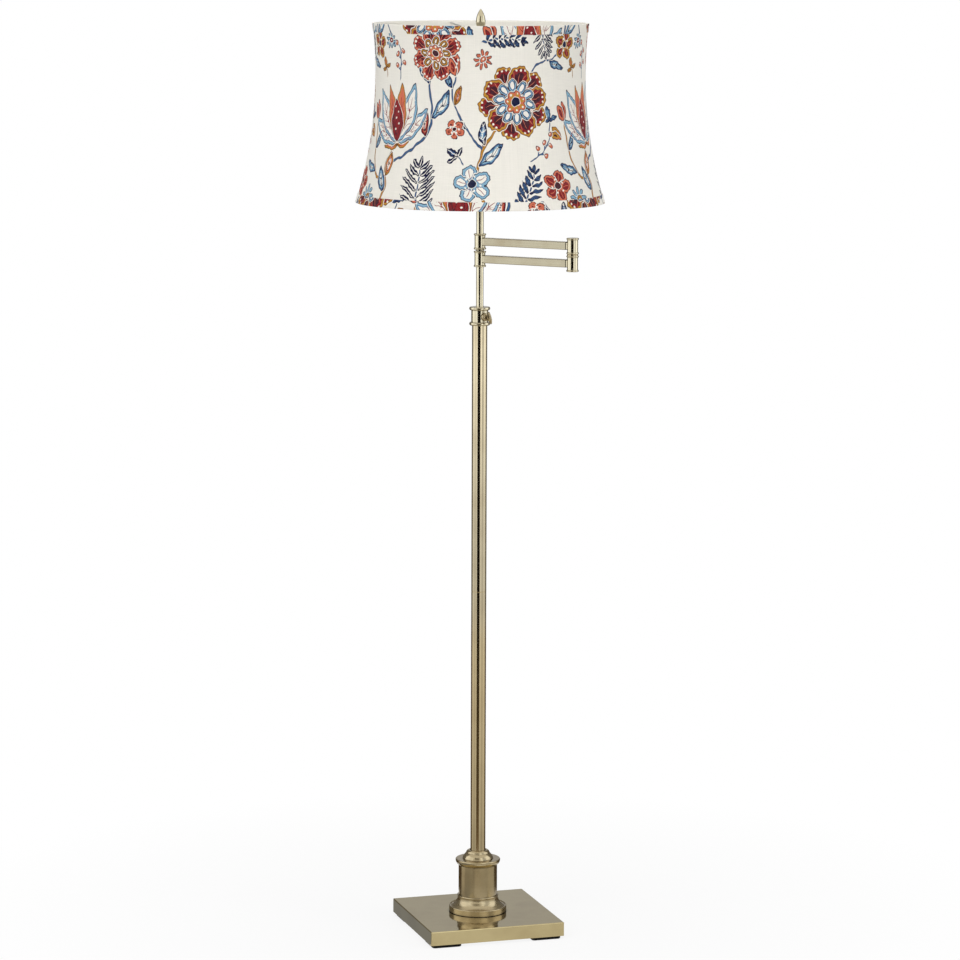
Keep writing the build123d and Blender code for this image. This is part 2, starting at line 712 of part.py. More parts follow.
finial = lathe(
    (0, finial_bottom),
    (finial_base_diameter / 2, finial_bottom),
    (finial_base_diameter / 2, finial_bottom + finial_base_height),
    waist,
    swell(waist, (finial_radius, shoulder), finial_swell),
    (ogive_middle, (finial_tip_diameter / 2, finial_top)),
    (0, finial_top),
)
finial -= rod(stud_diameter / 2 + fit_gap, finial_bottom, spider_level + stud_length + fit_gap)
parts["finial"] = finial

# Socket cap, shell, insulating sleeve, body, screw shell and contact
cap_outer = socket_cap_diameter / 2
socket_bottom = saddle_top
socket_cap_top = socket_bottom + socket_cap_height
shell_radius = cap_outer - socket_wall - fit_gap
shell_bottom = socket_cap_top - socket_shell_overlap
shell_top = shell_bottom + socket_shell_height
base_radius = socket_cap_base_diameter / 2
taper_top = socket_bottom + socket_cap_taper
taper_middle = (base_radius + 0.72 * (cap_outer - base_radius), socket_bottom + 0.4 * socket_cap_taper)
parts["socket_cap"] = lathe(
    (nipple_radius + fit_gap, socket_bottom),
    (base_radius, socket_bottom),
    (taper_middle, (cap_outer, taper_top)),
    (cap_outer, socket_cap_top),
    (cap_outer - socket_wall, socket_cap_top),
    (cap_outer - socket_wall, taper_top),
    (base_radius - socket_wall, socket_bottom + 2 * socket_wall),
    (nipple_radius + fit_gap, socket_bottom + 2 * socket_wall),
)
insulator_radius = shell_radius - socket_wall - fit_gap
body_radius = insulator_radius - insulator_wall - fit_gap
body_bottom = shell_bottom
body_top = body_bottom + socket_body_height
key_level = shell_bottom + key_height
key_frame = radial(-90, key_level)
key_hole = key_frame * Cylinder(key_shaft_diameter / 2 + run_gap, cap_outer * 2, align=up)
key_socket = key_frame * Pos(0, 0, key_start - face_gap) * Cylinder(
    key_shaft_diameter / 2 + run_gap, cap_outer * 2, align=up)
shell = lathe(
    (shell_radius - socket_wall, shell_bottom),
    (shell_radius, shell_bottom),
    (shell_radius, shell_top - 3),
    ((shell_radius + socket_rim_bulge, shell_top - 1.5), (shell_radius, shell_top)),
    (shell_radius - socket_wall, shell_top),
)
parts["socket_shell"] = shell - key_hole
parts["socket_insulator"] = tube(
    insulator_radius, insulator_radius - insulator_wall, shell_bottom, shell_top - 1) - key_hole
contact_level = body_top - contact_height
socket_body = rod(body_radius, body_bottom, body_top) - key_socket
parts["socket_body"] = socket_body - rod(contact_well_diameter / 2, contact_level, body_top)
screw_bore = screw_shell_bore / 2
parts["screw_shell"] = tube(
    screw_bore + screw_shell_wall, screw_bore, body_top, body_top + screw_shell_height)
parts["centre_contact"] = rod(contact_diameter / 2, contact_level, body_top)

# Switch key
knob_start = key_start + key_shaft_length
knob_radius = key_knob_diameter / 2
key = rod(key_shaft_diameter / 2, key_start, knob_start)
knob_end = knob_start + key_knob_length
knob = lathe(
    (0, knob_start),
    (knob_radius * 0.7, knob_start),
    (knob_radius, knob_start + 1.5),
    (knob_radius, knob_end - 2),
    ((knob_radius * 0.86, knob_end - 0.5), (knob_radius * 0.6, knob_end)),
    (0, knob_end),
)
flutes = [
    Rot(0, 0, turn) * Pos(knob_radius + 0.6, 0, knob_start) * Cylinder(1.4, key_knob_length, align=up)
    for turn in range(0, 360, 30)
]
parts["switch_key"] = key_frame * (key + (knob - flutes))

# Shade layers share the centre of the cover's curve
shade_waist = shade_top - shade_waist_drop
shade_centre = shade_waist_radius + shade_curve_radius
wire_radius = shade_wire_diameter / 2
wire_depth = shade_cover_thickness + shade_wire_gap + wire_radius
lining_outer = wire_depth + wire_radius + shade_wire_gap
lining_inner = lining_outer + shade_lining_thickness
trim_inner = lining_inner + shade_trim_gap


def shade_radius(z, depth):
    # Radius of the layer that lies a depth inside the cover's outer face
    return shade_centre - math.sqrt((shade_curve_radius + depth) ** 2 - (z - shade_waist) ** 2)


def on_layer(z, depth):
    return (shade_radius(z, depth), z)


def layer_arc(z0, z1, depth):
    # Arc step along a layer from z0 to z1
    return (on_layer((z0 + z1) / 2, depth), on_layer(z1, depth))


def layer(outer, inner, z0, z1):
    return lathe(
        on_layer(z0, inner), on_layer(z0, outer), layer_arc(z0, z1, outer), on_layer(z1, inner),
        layer_arc(z1, z0, inner))


def trim(rim, inward):
    # Folded tape over a rim; inward is -1 at the top rim and 1 at the bottom rim
    edge = rim + inward * shade_trim_height
    crown = rim - inward * (shade_trim_gap + shade_trim_thickness)
    fold = rim - inward * shade_trim_gap
    face = -shade_trim_gap - shade_trim_thickness
    back = trim_inner + shade_trim_thickness
    return lathe(
        on_layer(edge, -shade_trim_gap),
        on_layer(edge, face),
        layer_arc(edge, crown, face),
        on_layer(crown, back),
        layer_arc(crown, edge, back),
        on_layer(edge, trim_inner),
        layer_arc(edge, fold, trim_inner),
        on_layer(fold, -shade_trim_gap),
        layer_arc(fold, edge, -shade_trim_gap),
    )


parts["shade_cover"] = layer(0, shade_cover_thickness, shade_bottom, shade_top)
parts["shade_lining"] = layer(lining_outer, lining_inner, shade_bottom, shade_top - shade_lining_drop)
parts["shade_bottom_trim"] = trim(shade_bottom, 1)

# Wire frame between cover and lining: two rings and the ribs that join them
ring_low = shade_bottom + shade_ring_inset
ring_high = shade_top - shade_ring_inset
rib_line = ThreePointArc(
    (shade_radius(ring_low, wire_depth), 0, ring_low),
    (shade_radius(shade_waist, wire_depth), 0, shade_waist),
    (shade_radius(ring_high, wire_depth), 0, ring_high),
)
rib = sweep(Plane(origin=rib_line @ 0, z_dir=rib_line % 0) * Circle(shade_rib_diameter / 2), rib_line)
frame = Part() + [Rot(0, 0, (n + 0.5) * 360 / rib_count) * rib for n in range(rib_count)]
for ring in (ring_low, ring_high):
    frame += Pos(0, 0, ring) * Torus(shade_radius(ring, wire_depth), wire_radius)
parts["shade_frame"] = frame

# Spider: slotted hub on the harp stud and spokes out to the top ring
spoke_start = (spider_hub_diameter / 2 - spoke_overlap, spider_level + spider_hub_thickness / 2)
spoke_end = (shade_radius(ring_high, wire_depth) - wire_radius - spoke_gap, ring_high)
spoke_angle = math.degrees(math.atan2(spoke_end[0] - spoke_start[0], spoke_end[1] - spoke_start[1]))
spoke_length = math.hypot(spoke_end[0] - spoke_start[0], spoke_end[1] - spoke_start[1])


def spoke(turn, radius):
    return Rot(0, 0, turn) * Pos(spoke_start[0], 0, spoke_start[1]) * Rot(0, spoke_angle, 0) * Cylinder(
        radius, spoke_length, align=up)


spoke_turns = [90 + n * 360 / spider_count for n in range(spider_count)]
spider = rod(spider_hub_diameter / 2, spider_level, finial_bottom)
spider += [spoke(turn, spider_wire_diameter / 2) for turn in spoke_turns]
spider -= rod(
    stud_diameter / 2 + fit_gap, spider_level - spider_wire_diameter, finial_bottom + spider_wire_diameter)
parts["shade_spider"] = spider
top_trim = trim(shade_top, -1)
top_trim -= [spoke(turn, spider_wire_diameter / 2 + spoke_slot_gap) for turn in spoke_turns]
parts["shade_top_trim"] = top_trim

os.makedirs("parts", exist_ok=True)
for name, shape in parts.items():
    export_step(shape, f"parts/{name}.step")
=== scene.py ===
import math

import bmesh
import bpy
import numpy as np
from bpy.props import FloatProperty, FloatVectorProperty, IntProperty, PointerProperty
from bpy.types import Operator, Panel, PropertyGroup
from mathutils import Matrix, Vector


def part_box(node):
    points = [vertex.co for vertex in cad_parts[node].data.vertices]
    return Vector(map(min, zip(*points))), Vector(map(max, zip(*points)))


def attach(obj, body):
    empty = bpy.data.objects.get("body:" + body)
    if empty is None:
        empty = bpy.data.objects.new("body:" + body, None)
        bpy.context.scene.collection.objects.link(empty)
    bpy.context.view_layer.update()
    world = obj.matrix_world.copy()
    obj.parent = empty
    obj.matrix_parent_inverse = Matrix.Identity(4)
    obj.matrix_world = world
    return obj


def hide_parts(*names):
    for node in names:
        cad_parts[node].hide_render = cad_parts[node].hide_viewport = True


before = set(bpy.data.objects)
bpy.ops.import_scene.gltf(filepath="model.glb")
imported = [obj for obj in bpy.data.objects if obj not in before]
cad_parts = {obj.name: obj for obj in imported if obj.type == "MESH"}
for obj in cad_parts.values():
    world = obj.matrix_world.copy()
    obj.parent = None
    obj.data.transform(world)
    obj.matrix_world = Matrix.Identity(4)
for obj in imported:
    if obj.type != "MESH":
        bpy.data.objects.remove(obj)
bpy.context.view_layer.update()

bl_info = {
    "name": "Swing arm floor lamp",
    "version": (1, 0, 0),
    "blender": (4, 5, 0),
    "location": "View3D > Sidebar > Floor lamp",
    "description": "Printed shade, lining, trims and metal finishes for a swing arm floor lamp",
    "category": "Object",
}

COVER_LOW, COVER_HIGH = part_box("shade_cover")
LINING_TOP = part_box("shade_lining")[1][2]
MM = 0.001


# Sizes and colours that a user would change

def length(label, text, default):
    return FloatProperty(name=label, description=text, default=default, min=0.0, unit="LENGTH", precision=4)


def ink(label, text, default):
    return FloatVectorProperty(
        name=label, description=text, default=default, size=3, min=0.0, max=1.0, subtype="COLOR")


def amount(label, text, default, top=10.0):
    return FloatProperty(name=label, description=text, default=default, min=0.0, max=top)


class ShadeSizes(PropertyGroup):
    """Shape of the shade. Every layer is an arc about one centre outside the shade."""
    waist_radius: length("Waist radius", "Outer face of the cover at its narrowest", 0.170)
    curve_radius: length("Curve radius", "Radius of the cover's hollow side", 0.700)
    waist_level: length("Waist level", "Height of the narrowest place", COVER_HIGH[2] - 0.078)
    bottom: length("Bottom rim", "Height of the cover's lower edge", COVER_LOW[2])
    top: length("Top rim", "Height of the cover's upper edge", COVER_HIGH[2])
    cloth: length("Cloth thickness", "Thickness of the printed cover", 0.0008)
    seam: length("Seam width", "Width of the overlap at the back", 0.009)
    seam_rise: length("Seam rise", "How far the overlap stands out", 0.0005)
    trim_height: length("Trim height", "Height of the tape over each rim", 0.013)
    trim_thickness: length("Trim thickness", "Thickness of the tape", 0.0008)
    lining_depth: length("Lining depth", "Outer face of the lining inside the cover's face", 0.0035)
    lining_cloth: length("Lining thickness", "Thickness of the lining", 0.0005)
    lining_top: length("Lining top", "Height of the lining's upper edge", LINING_TOP)
    columns: IntProperty(name="Columns", description="Faces round the printed cover", default=640, min=48)
    rows: IntProperty(name="Rows", description="Faces up the printed cover", default=144, min=12)


class PrintInks(PropertyGroup):
    """Colours of the printed cloth."""
    cloth: ink("Cloth", "Unprinted ground", (0.855, 0.826, 0.752))
    navy: ink("Navy", "Darkest ink", (0.007, 0.009, 0.042))
    slate: ink("Slate blue", "Leaves and stems", (0.042, 0.112, 0.254))
    sky: ink("Sky blue", "Light side of the leaves", (0.231, 0.423, 0.565))
    brick: ink("Brick red", "Inside of the petals", (0.238, 0.012, 0.016))
    coral: ink("Coral", "Light petals", (0.617, 0.150, 0.080))
    plum: ink("Plum", "Dark outlines", (0.054, 0.010, 0.019))
    gold: ink("Gold", "Border of the petals", (0.503, 0.238, 0.030))
    rust: ink("Rust", "Woody stems and outlines", (0.138, 0.045, 0.009))
    sage: ink("Sage", "Hearts of the flowers", (0.314, 0.515, 0.413))
    lining: ink("Lining", "Plain cloth inside the shade", (0.850, 0.835, 0.790))


class MetalFinish(PropertyGroup):
    """Finishes of the metal pieces."""
    brass: ink("Brass", "Antique brass of the poles", (0.550, 0.460, 0.290))
    pedestal: ink("Pedestal brass", "Browner brass of the pedestal and the thumb screw", (0.450, 0.365, 0.215))
    arm: ink("Arm brass", "Pale brass of the arms, hubs, collar and finial", (0.600, 0.530, 0.360))
    plate: ink("Base brass", "Plated sheet of the base", (0.500, 0.411, 0.213))
    bright: ink("Bright brass", "Socket and harp", (0.720, 0.540, 0.240))
    patina: ink("Patina", "Brown tone in the brass", (0.210, 0.130, 0.050))
    steel: ink("Steel", "Zinc plated steel", (0.560, 0.560, 0.550))
    polish: amount("Polish", "Roughness of the polished brass", 0.12, 1.0)
    satin: amount("Satin", "Roughness of the satin brass of pedestal and arms", 0.20, 1.0)


class StudioLight(PropertyGroup):
    """Lamps, cards and floor of the studio."""
    floor: ink("Floor", "Floor colour", (0.86, 0.86, 0.86))
    key: amount("Key light", "Power of the large lamp at the left, in watts", 74.0, 2000.0)
    fill: amount("Fill light", "Power of the large lamp at the right, in watts", 48.0, 2000.0)
    top: amount("Top light", "Power of the lamp above, in watts", 44.0, 2000.0)
    sky: amount("Sky", "Even light from all round", 0.42, 4.0)


# Materials

def start_material(name):
    """A new material with its tree and its surface shader."""
    material = bpy.data.materials.new(name)
    material.use_nodes = True
    tree = material.node_tree
    return material, tree, tree.nodes["Principled BSDF"]


def put(tree, socket, value):
    """Links a socket to another one, or sets its value."""
    if isinstance(value, bpy.types.NodeSocket):
        tree.links.new(value, socket)
    elif socket.type == "RGBA" and len(value) == 3:
        socket.default_value = (*value, 1.0)
    else:
        socket.default_value = value


def put_all(tree, made, inputs):
    for name, value in inputs.items():
        put(tree, made.inputs[name], value)


def node(tree, kind, inputs=None, **settings):
    made = tree.nodes.new(kind)
    for name, value in settings.items():
        setattr(made, name, value)
    put_all(tree, made, inputs or {})
    return made


def maths(tree, operation, *values):
    made = node(tree, "ShaderNodeMath", operation=operation)
    for socket, value in zip(made.inputs, values):
        put(tree, socket, value)
    return made.outputs[0]


def blended(tree, factor, under, over, how="MIX"):
    made = node(tree, "ShaderNodeMix", data_type="RGBA", blend_type=how)
    for index, value in ((0, factor), (6, under), (7, over)):
        put(tree, made.inputs[index], value)
    return made.outputs[2]


def spread(tree, value, low, high, start=0.0, end=1.0):
    """Moves a value from the range start to end into low to high."""
    made = node(tree, "ShaderNodeMapRange", {
        "Value": value, "From Min": start, "From Max": end, "To Min": low, "To Max": high})
    return made.outputs[0]


def object_place(tree):
    return node(tree, "ShaderNodeTexCoord").outputs["Object"]


def stretched(tree, place, scale):
    return node(tree, "ShaderNodeMapping", {"Vector": place, "Scale": scale}).outputs[0]


def from_origin(tree):
    return node(tree, "ShaderNodeVectorMath", {0: object_place(tree)}, operation="LENGTH").outputs["Value"]


def scaled(colour, share):
    return tuple(c * share for c in colour)


def noise(tree, place, scale, detail=3.0, roughness=0.55):
    return node(tree, "ShaderNodeTexNoise", {
        "Vector": place, "Scale": scale, "Detail": detail, "Roughness": roughness}).outputs["Fac"]


def bumped(tree, shader, height, strength, distance):
    bump = node(tree, "ShaderNodeBump", {"Height": height, "Strength": strength, "Distance": distance})
    put(tree, shader.inputs["Normal"], bump.outputs[0])


# Scales of the fine lines: few along the grain, many across it
DRAWN, TURNED, BRUSHED = (700, 700, 3), (8, 8, 1600), (4, 900, 900)
# Reach of the painted shade and patina in the crevices of the brass
CREVICE = 6 * MM
LINE_DEPTH, STEEL_DEPTH, MOULD_DEPTH, THREAD_DEPTH = 0.2 * MM, 0.3 * MM, 0.5 * MM, 0.25 * MM


def brass_finish(name, colour, patina, roughness, grain, turn=0.0, tone=0.30, bite=0.12, alone=True):
    """Lacquered brass with fine lines along the grain, a cloudy brown tone, and crevices darkened by painted shade
    and patina.

    The crevices of a piece that isn't alone are those that it makes with its neighbours too."""
    material, tree, shader = start_material(name)
    turned = node(tree, "ShaderNodeMapping", {"Vector": object_place(tree), "Rotation": (0, 0, turn)}).outputs[0]
    lines = noise(tree, stretched(tree, turned, grain), 1.0, detail=2.0, roughness=0.6)
    clouds = noise(tree, object_place(tree), 22.0, detail=2.0)
    aged = maths(tree, "MULTIPLY", spread(tree, clouds, 0.0, 1.0, start=0.42, end=0.72), tone)
    toned = blended(tree, aged, colour, patina)
    lined = blended(tree, spread(tree, lines, 0.0, bite * 1.6, start=0.45, end=0.80), toned, patina)
    # Darker where ambient occlusion finds crevices: painted shade, and patina in the hollows as well
    openness = node(
        tree, "ShaderNodeAmbientOcclusion", {"Distance": CREVICE}, samples=6, only_local=alone).outputs["AO"]
    crevice_shade_and_patina = spread(tree, openness, 0.9, 0.0, start=0.30, end=0.80)
    put_all(tree, shader, {
        "Base Color": blended(tree, crevice_shade_and_patina, lined, scaled(patina, 0.2)), "Metallic": 1.0,
        "Roughness": spread(tree, lines, roughness * 0.85, roughness * 1.2, start=0.3, end=0.7),
        "Coat Weight": 0.25, "Coat Roughness": 0.12})
    bumped(tree, shader, lines, bite, LINE_DEPTH)
    return material


def plain_metal_finish(name, colour, roughness, grain):
    material, tree, shader = start_material(name)
    lines = noise(tree, object_place(tree), grain, detail=4.0)
    stains = spread(tree, lines, 0.0, 0.35, start=0.4, end=0.7)
    put_all(tree, shader, {
        "Base Color": blended(tree, stains, colour, scaled(colour, 0.6)), "Metallic": 1.0,
        "Roughness": spread(tree, lines, roughness * 0.8, roughness * 1.3, start=0.3, end=0.7)})
    bumped(tree, shader, lines, 0.10, STEEL_DEPTH)
    return material


def moulded_finish(name, colour, roughness, grain, bite, shine):
    """Rubber, nylon, phenolic, fibre or rough casting."""
    material, tree, shader = start_material(name)
    fine = noise(tree, object_place(tree), grain, detail=6.0, roughness=0.6)
    stains = spread(tree, fine, 0.0, 0.5, start=0.35, end=0.75)
    put_all(tree, shader, {
        "Base Color": blended(tree, stains, colour, scaled(colour, 0.55)), "Specular IOR Level": shine,
        "Roughness": spread(tree, fine, roughness * 0.85, min(roughness * 1.15, 1.0), start=0.3, end=0.7)})
    bumped(tree, shader, fine, bite, MOULD_DEPTH)
    return material


THREAD_PITCH, THREADS_ROUND = 0.62 * MM, 1800.0


def weave(tree):
    """Height of a plain weave that runs round and up the shade, and its uneven threads."""
    place = node(tree, "ShaderNodeSeparateXYZ", {"Vector": object_place(tree)})
    turn = maths(tree, "ARCTAN2", place.outputs["Y"], place.outputs["X"])
    weft = maths(tree, "SINE", maths(tree, "MULTIPLY", place.outputs["Z"], 2 * math.pi / THREAD_PITCH))
    warp = maths(tree, "SINE", maths(tree, "MULTIPLY", turn, THREADS_ROUND))
    threads = maths(tree, "MULTIPLY", weft, warp)
    round_place = node(tree, "ShaderNodeCombineXYZ", {
        "X": maths(tree, "COSINE", turn), "Y": maths(tree, "SINE", turn), "Z": place.outputs["Z"]}).outputs[0]
    slub_round, slub_up = (
        noise(tree, stretched(tree, round_place, scale), 1.0, detail=2.0)
        for scale in ((9.0, 9.0, 900.0), (160.0, 160.0, 12.0)))
    return threads, maths(tree, "ADD", slub_round, slub_up)


def cloth_surface(tree, shader, colour):
    """Weave, uneven threads and sheen over a colour."""
    threads, slubs = weave(tree)
    shaded = maths(tree, "ADD", spread(tree, slubs, 0.955, 1.03, start=0.7, end=1.3),
                   maths(tree, "MULTIPLY", threads, 0.02))
    tint = node(tree, "ShaderNodeCombineColor", {"Red": shaded, "Green": shaded, "Blue": shaded}).outputs[0]
    put_all(tree, shader, {
        "Base Color": blended(tree, 1.0, colour, tint, "MULTIPLY"), "Roughness": 0.82, "Specular IOR Level": 0.12,
        "Sheen Weight": 0.04, "Sheen Roughness": 0.5})
    height = maths(tree, "ADD", maths(tree, "MULTIPLY", threads, 0.6), slubs)
    bumped(tree, shader, height, 0.22, THREAD_DEPTH)


# Bands of ink inwards from the edge of each motif: a distance in millimetres, and the inks of the gold,
# blue, red and navy motifs, or the bare cloth
LEAF_BANDS = (
    (0.9, None), (0.0, "rust navy plum navy"), (-1.3, "gold slate brick navy"),
    (-3.0, "coral sky coral slate"), (-5.2, "cloth cloth cloth sky"))
PETAL_BANDS = (
    (1.3, None), (0.0, "rust navy plum navy"), (-1.3, "gold sky coral sky"), (-4.4, "plum slate plum navy"),
    (-5.4, "brick cloth brick slate"), (-10.5, "plum cloth plum navy"))
MIDDLE_BANDS = (
    (1.0, None), (0.0, "plum rust plum navy"), (-1.2, "sky gold gold sage"),
    (-2.8, "slate coral rust cloth"), (-4.4, "cloth coral cloth cloth"))
HEART_BANDS = (
    (1.0, None), (0.0, "plum plum plum navy"), (-1.0, "coral brick coral gold"), (-3.0, "gold brick gold rust"))
EYE_BANDS = ((0.0, None), (-0.9, "navy navy plum brick"))
# Softness of the edges of inks and lines, and how far from its line a stem or a vein is drawn
INK_EDGE, LINE_EDGE, STEM_REACH, VEIN_REACH = 0.18, 0.2, 3.2, 2.6


def printed_finish(inks):
    """Cloth with the print that the cover's and the trims' distance attributes describe."""
    material, tree, shader = start_material("printed_cloth")
    colour_of = {name: tuple(getattr(inks, name)) for name in PrintInks.__annotations__}
    field = {
        name: node(tree, "ShaderNodeAttribute", attribute_name="ink_" + name).outputs["Fac"]
        for name in PRINT_ATTRIBUTES}
    mottle = noise(tree, object_place(tree), 190.0, detail=5.0, roughness=0.65)
    edge = spread(tree, mottle, -0.35, 0.35, start=0.3, end=0.7)

    def inside(distance, level):
        rough_edge = maths(tree, "ADD", distance, edge)
        return spread(tree, rough_edge, 1.0, 0.0, level - INK_EDGE, level + INK_EDGE)

    def by_tone(tone, inks_in):
        names = inks_in.split()
        made = node(tree, "ShaderNodeValToRGB", {"Fac": field[tone]})
        made.color_ramp.interpolation = "CONSTANT"
        while len(made.color_ramp.elements) < len(names):
            made.color_ramp.elements.new(0.5)
        for n, name in enumerate(names):
            made.color_ramp.elements[n].position = n / len(names)
            made.color_ramp.elements[n].color = (*colour_of[name], 1.0)
        return made.outputs["Color"]

    def line(kind, reach, half=1.0):
        near = maths(tree, "LESS_THAN", field[kind + "_gap"], reach)
        off = maths(tree, "ABSOLUTE", field[kind + "_side"])
        return maths(tree, "MULTIPLY", near, spread(tree, off, 1.0, 0.0, half - LINE_EDGE, half + LINE_EDGE))

    def lay_bands(under, distance, tone, bands):
        for level, inks_in in bands:
            over = by_tone(tone, inks_in) if inks_in else ground
            under = blended(tree, inside(distance, level), under, over)
        return under

    ground = colour_of["cloth"]
    vein = line("vein", VEIN_REACH)
    stem, stem_heart = line("stem", STEM_REACH), line("stem", STEM_REACH, half=0.55)
    colour = blended(tree, stem, ground, by_tone("leaf_tone", "rust navy plum navy"))
    colour = blended(tree, stem_heart, colour, by_tone("leaf_tone", "gold slate brick slate"))
    for name, bands, veins in (
            ("leaf", LEAF_BANDS, "rust navy plum cloth"),
            ("back_petal", PETAL_BANDS, "coral brick coral sky"),
            ("front_petal", PETAL_BANDS, "coral brick coral sky"),
            ("mid_petal", MIDDLE_BANDS, "navy brick plum navy"),
            ("heart", HEART_BANDS, "plum plum plum navy")):
        tone = "leaf_tone" if name == "leaf" else "petal_tone"
        colour = lay_bands(colour, field[name], tone, bands)
        on_piece = maths(tree, "MULTIPLY", vein, inside(field[name], -1.0))
        colour = blended(tree, on_piece, colour, by_tone(tone, veins))
    colour = lay_bands(colour, field["eye"], "petal_tone", EYE_BANDS)
    colour = blended(tree, inside(field["dot"], 0.0), colour, ground)
    washed = blended(tree, spread(tree, mottle, 0.0, 0.03, start=0.42, end=0.75), colour, ground)
    cloth_surface(tree, shader, washed)
    return material


# Print of the cloth, as distances in millimetres on the unrolled cover

TILE, REPEATS, STRETCH_UP = 373.0, 3, 1.02
FAR = 60.0
LINE_MARGIN, DISC_MARGIN = 7, 12
FILLS = ("leaf", "back_petal", "front_petal", "mid_petal", "heart", "eye", "dot")
STROKES, KINDS = ("stem", "vein"), ("leaf", "petal")
PETAL_LAYERS = ("front_petal", "back_petal")
PRINT_ATTRIBUTES = (*FILLS, "stem_side", "stem_gap", "vein_side", "vein_gap", "leaf_tone", "petal_tone")
GOLD, BLUE, RED, NAVY = 0.125, 0.375, 0.625, 0.875


def cos_sin(turn):
    return math.cos(math.radians(turn)), math.sin(math.radians(turn))


def almond(x, y, length, width):
    """Distance to an almond from (0, 0) to (length, 0)."""
    half, side = length / 2, width / 2
    radius = (half * half + side * side) / (2 * side)
    drop = radius - side
    along, across = np.abs(x - half), np.abs(y)
    tip = (along - half) * drop > across * half
    return np.where(tip, np.hypot(along - half, across), np.hypot(along, across + drop) - radius)


def egg(x, y, length, width):
    """Distance to an oval about (0, 0), good near its edge."""
    a, b = length / 2, width / 2
    reach = np.hypot(x / a, y / b)
    slope = np.hypot(x / a ** 2, y / b ** 2)
    return np.where(reach < 0.05, -min(a, b), reach * (reach - 1) / np.maximum(slope, 1e-6))


def curve(points, count=9):
    """Points along a smooth line through the given ones."""
    p = np.array(points, float)
    p = np.vstack([2 * p[0] - p[1], p, 2 * p[-1] - p[-2]])
    t = np.linspace(0, 1, count, endpoint=False)[:, None]
    runs = []
    for a, b, c, d in zip(p, p[1:], p[2:], p[3:]):
        runs.append(0.5 * (2 * b + (c - a) * t + (2 * a - 5 * b + 4 * c - d) * t ** 2
                           + (3 * b - a - 3 * c + d) * t ** 3))
    return np.vstack(runs + [p[-2:-1]])


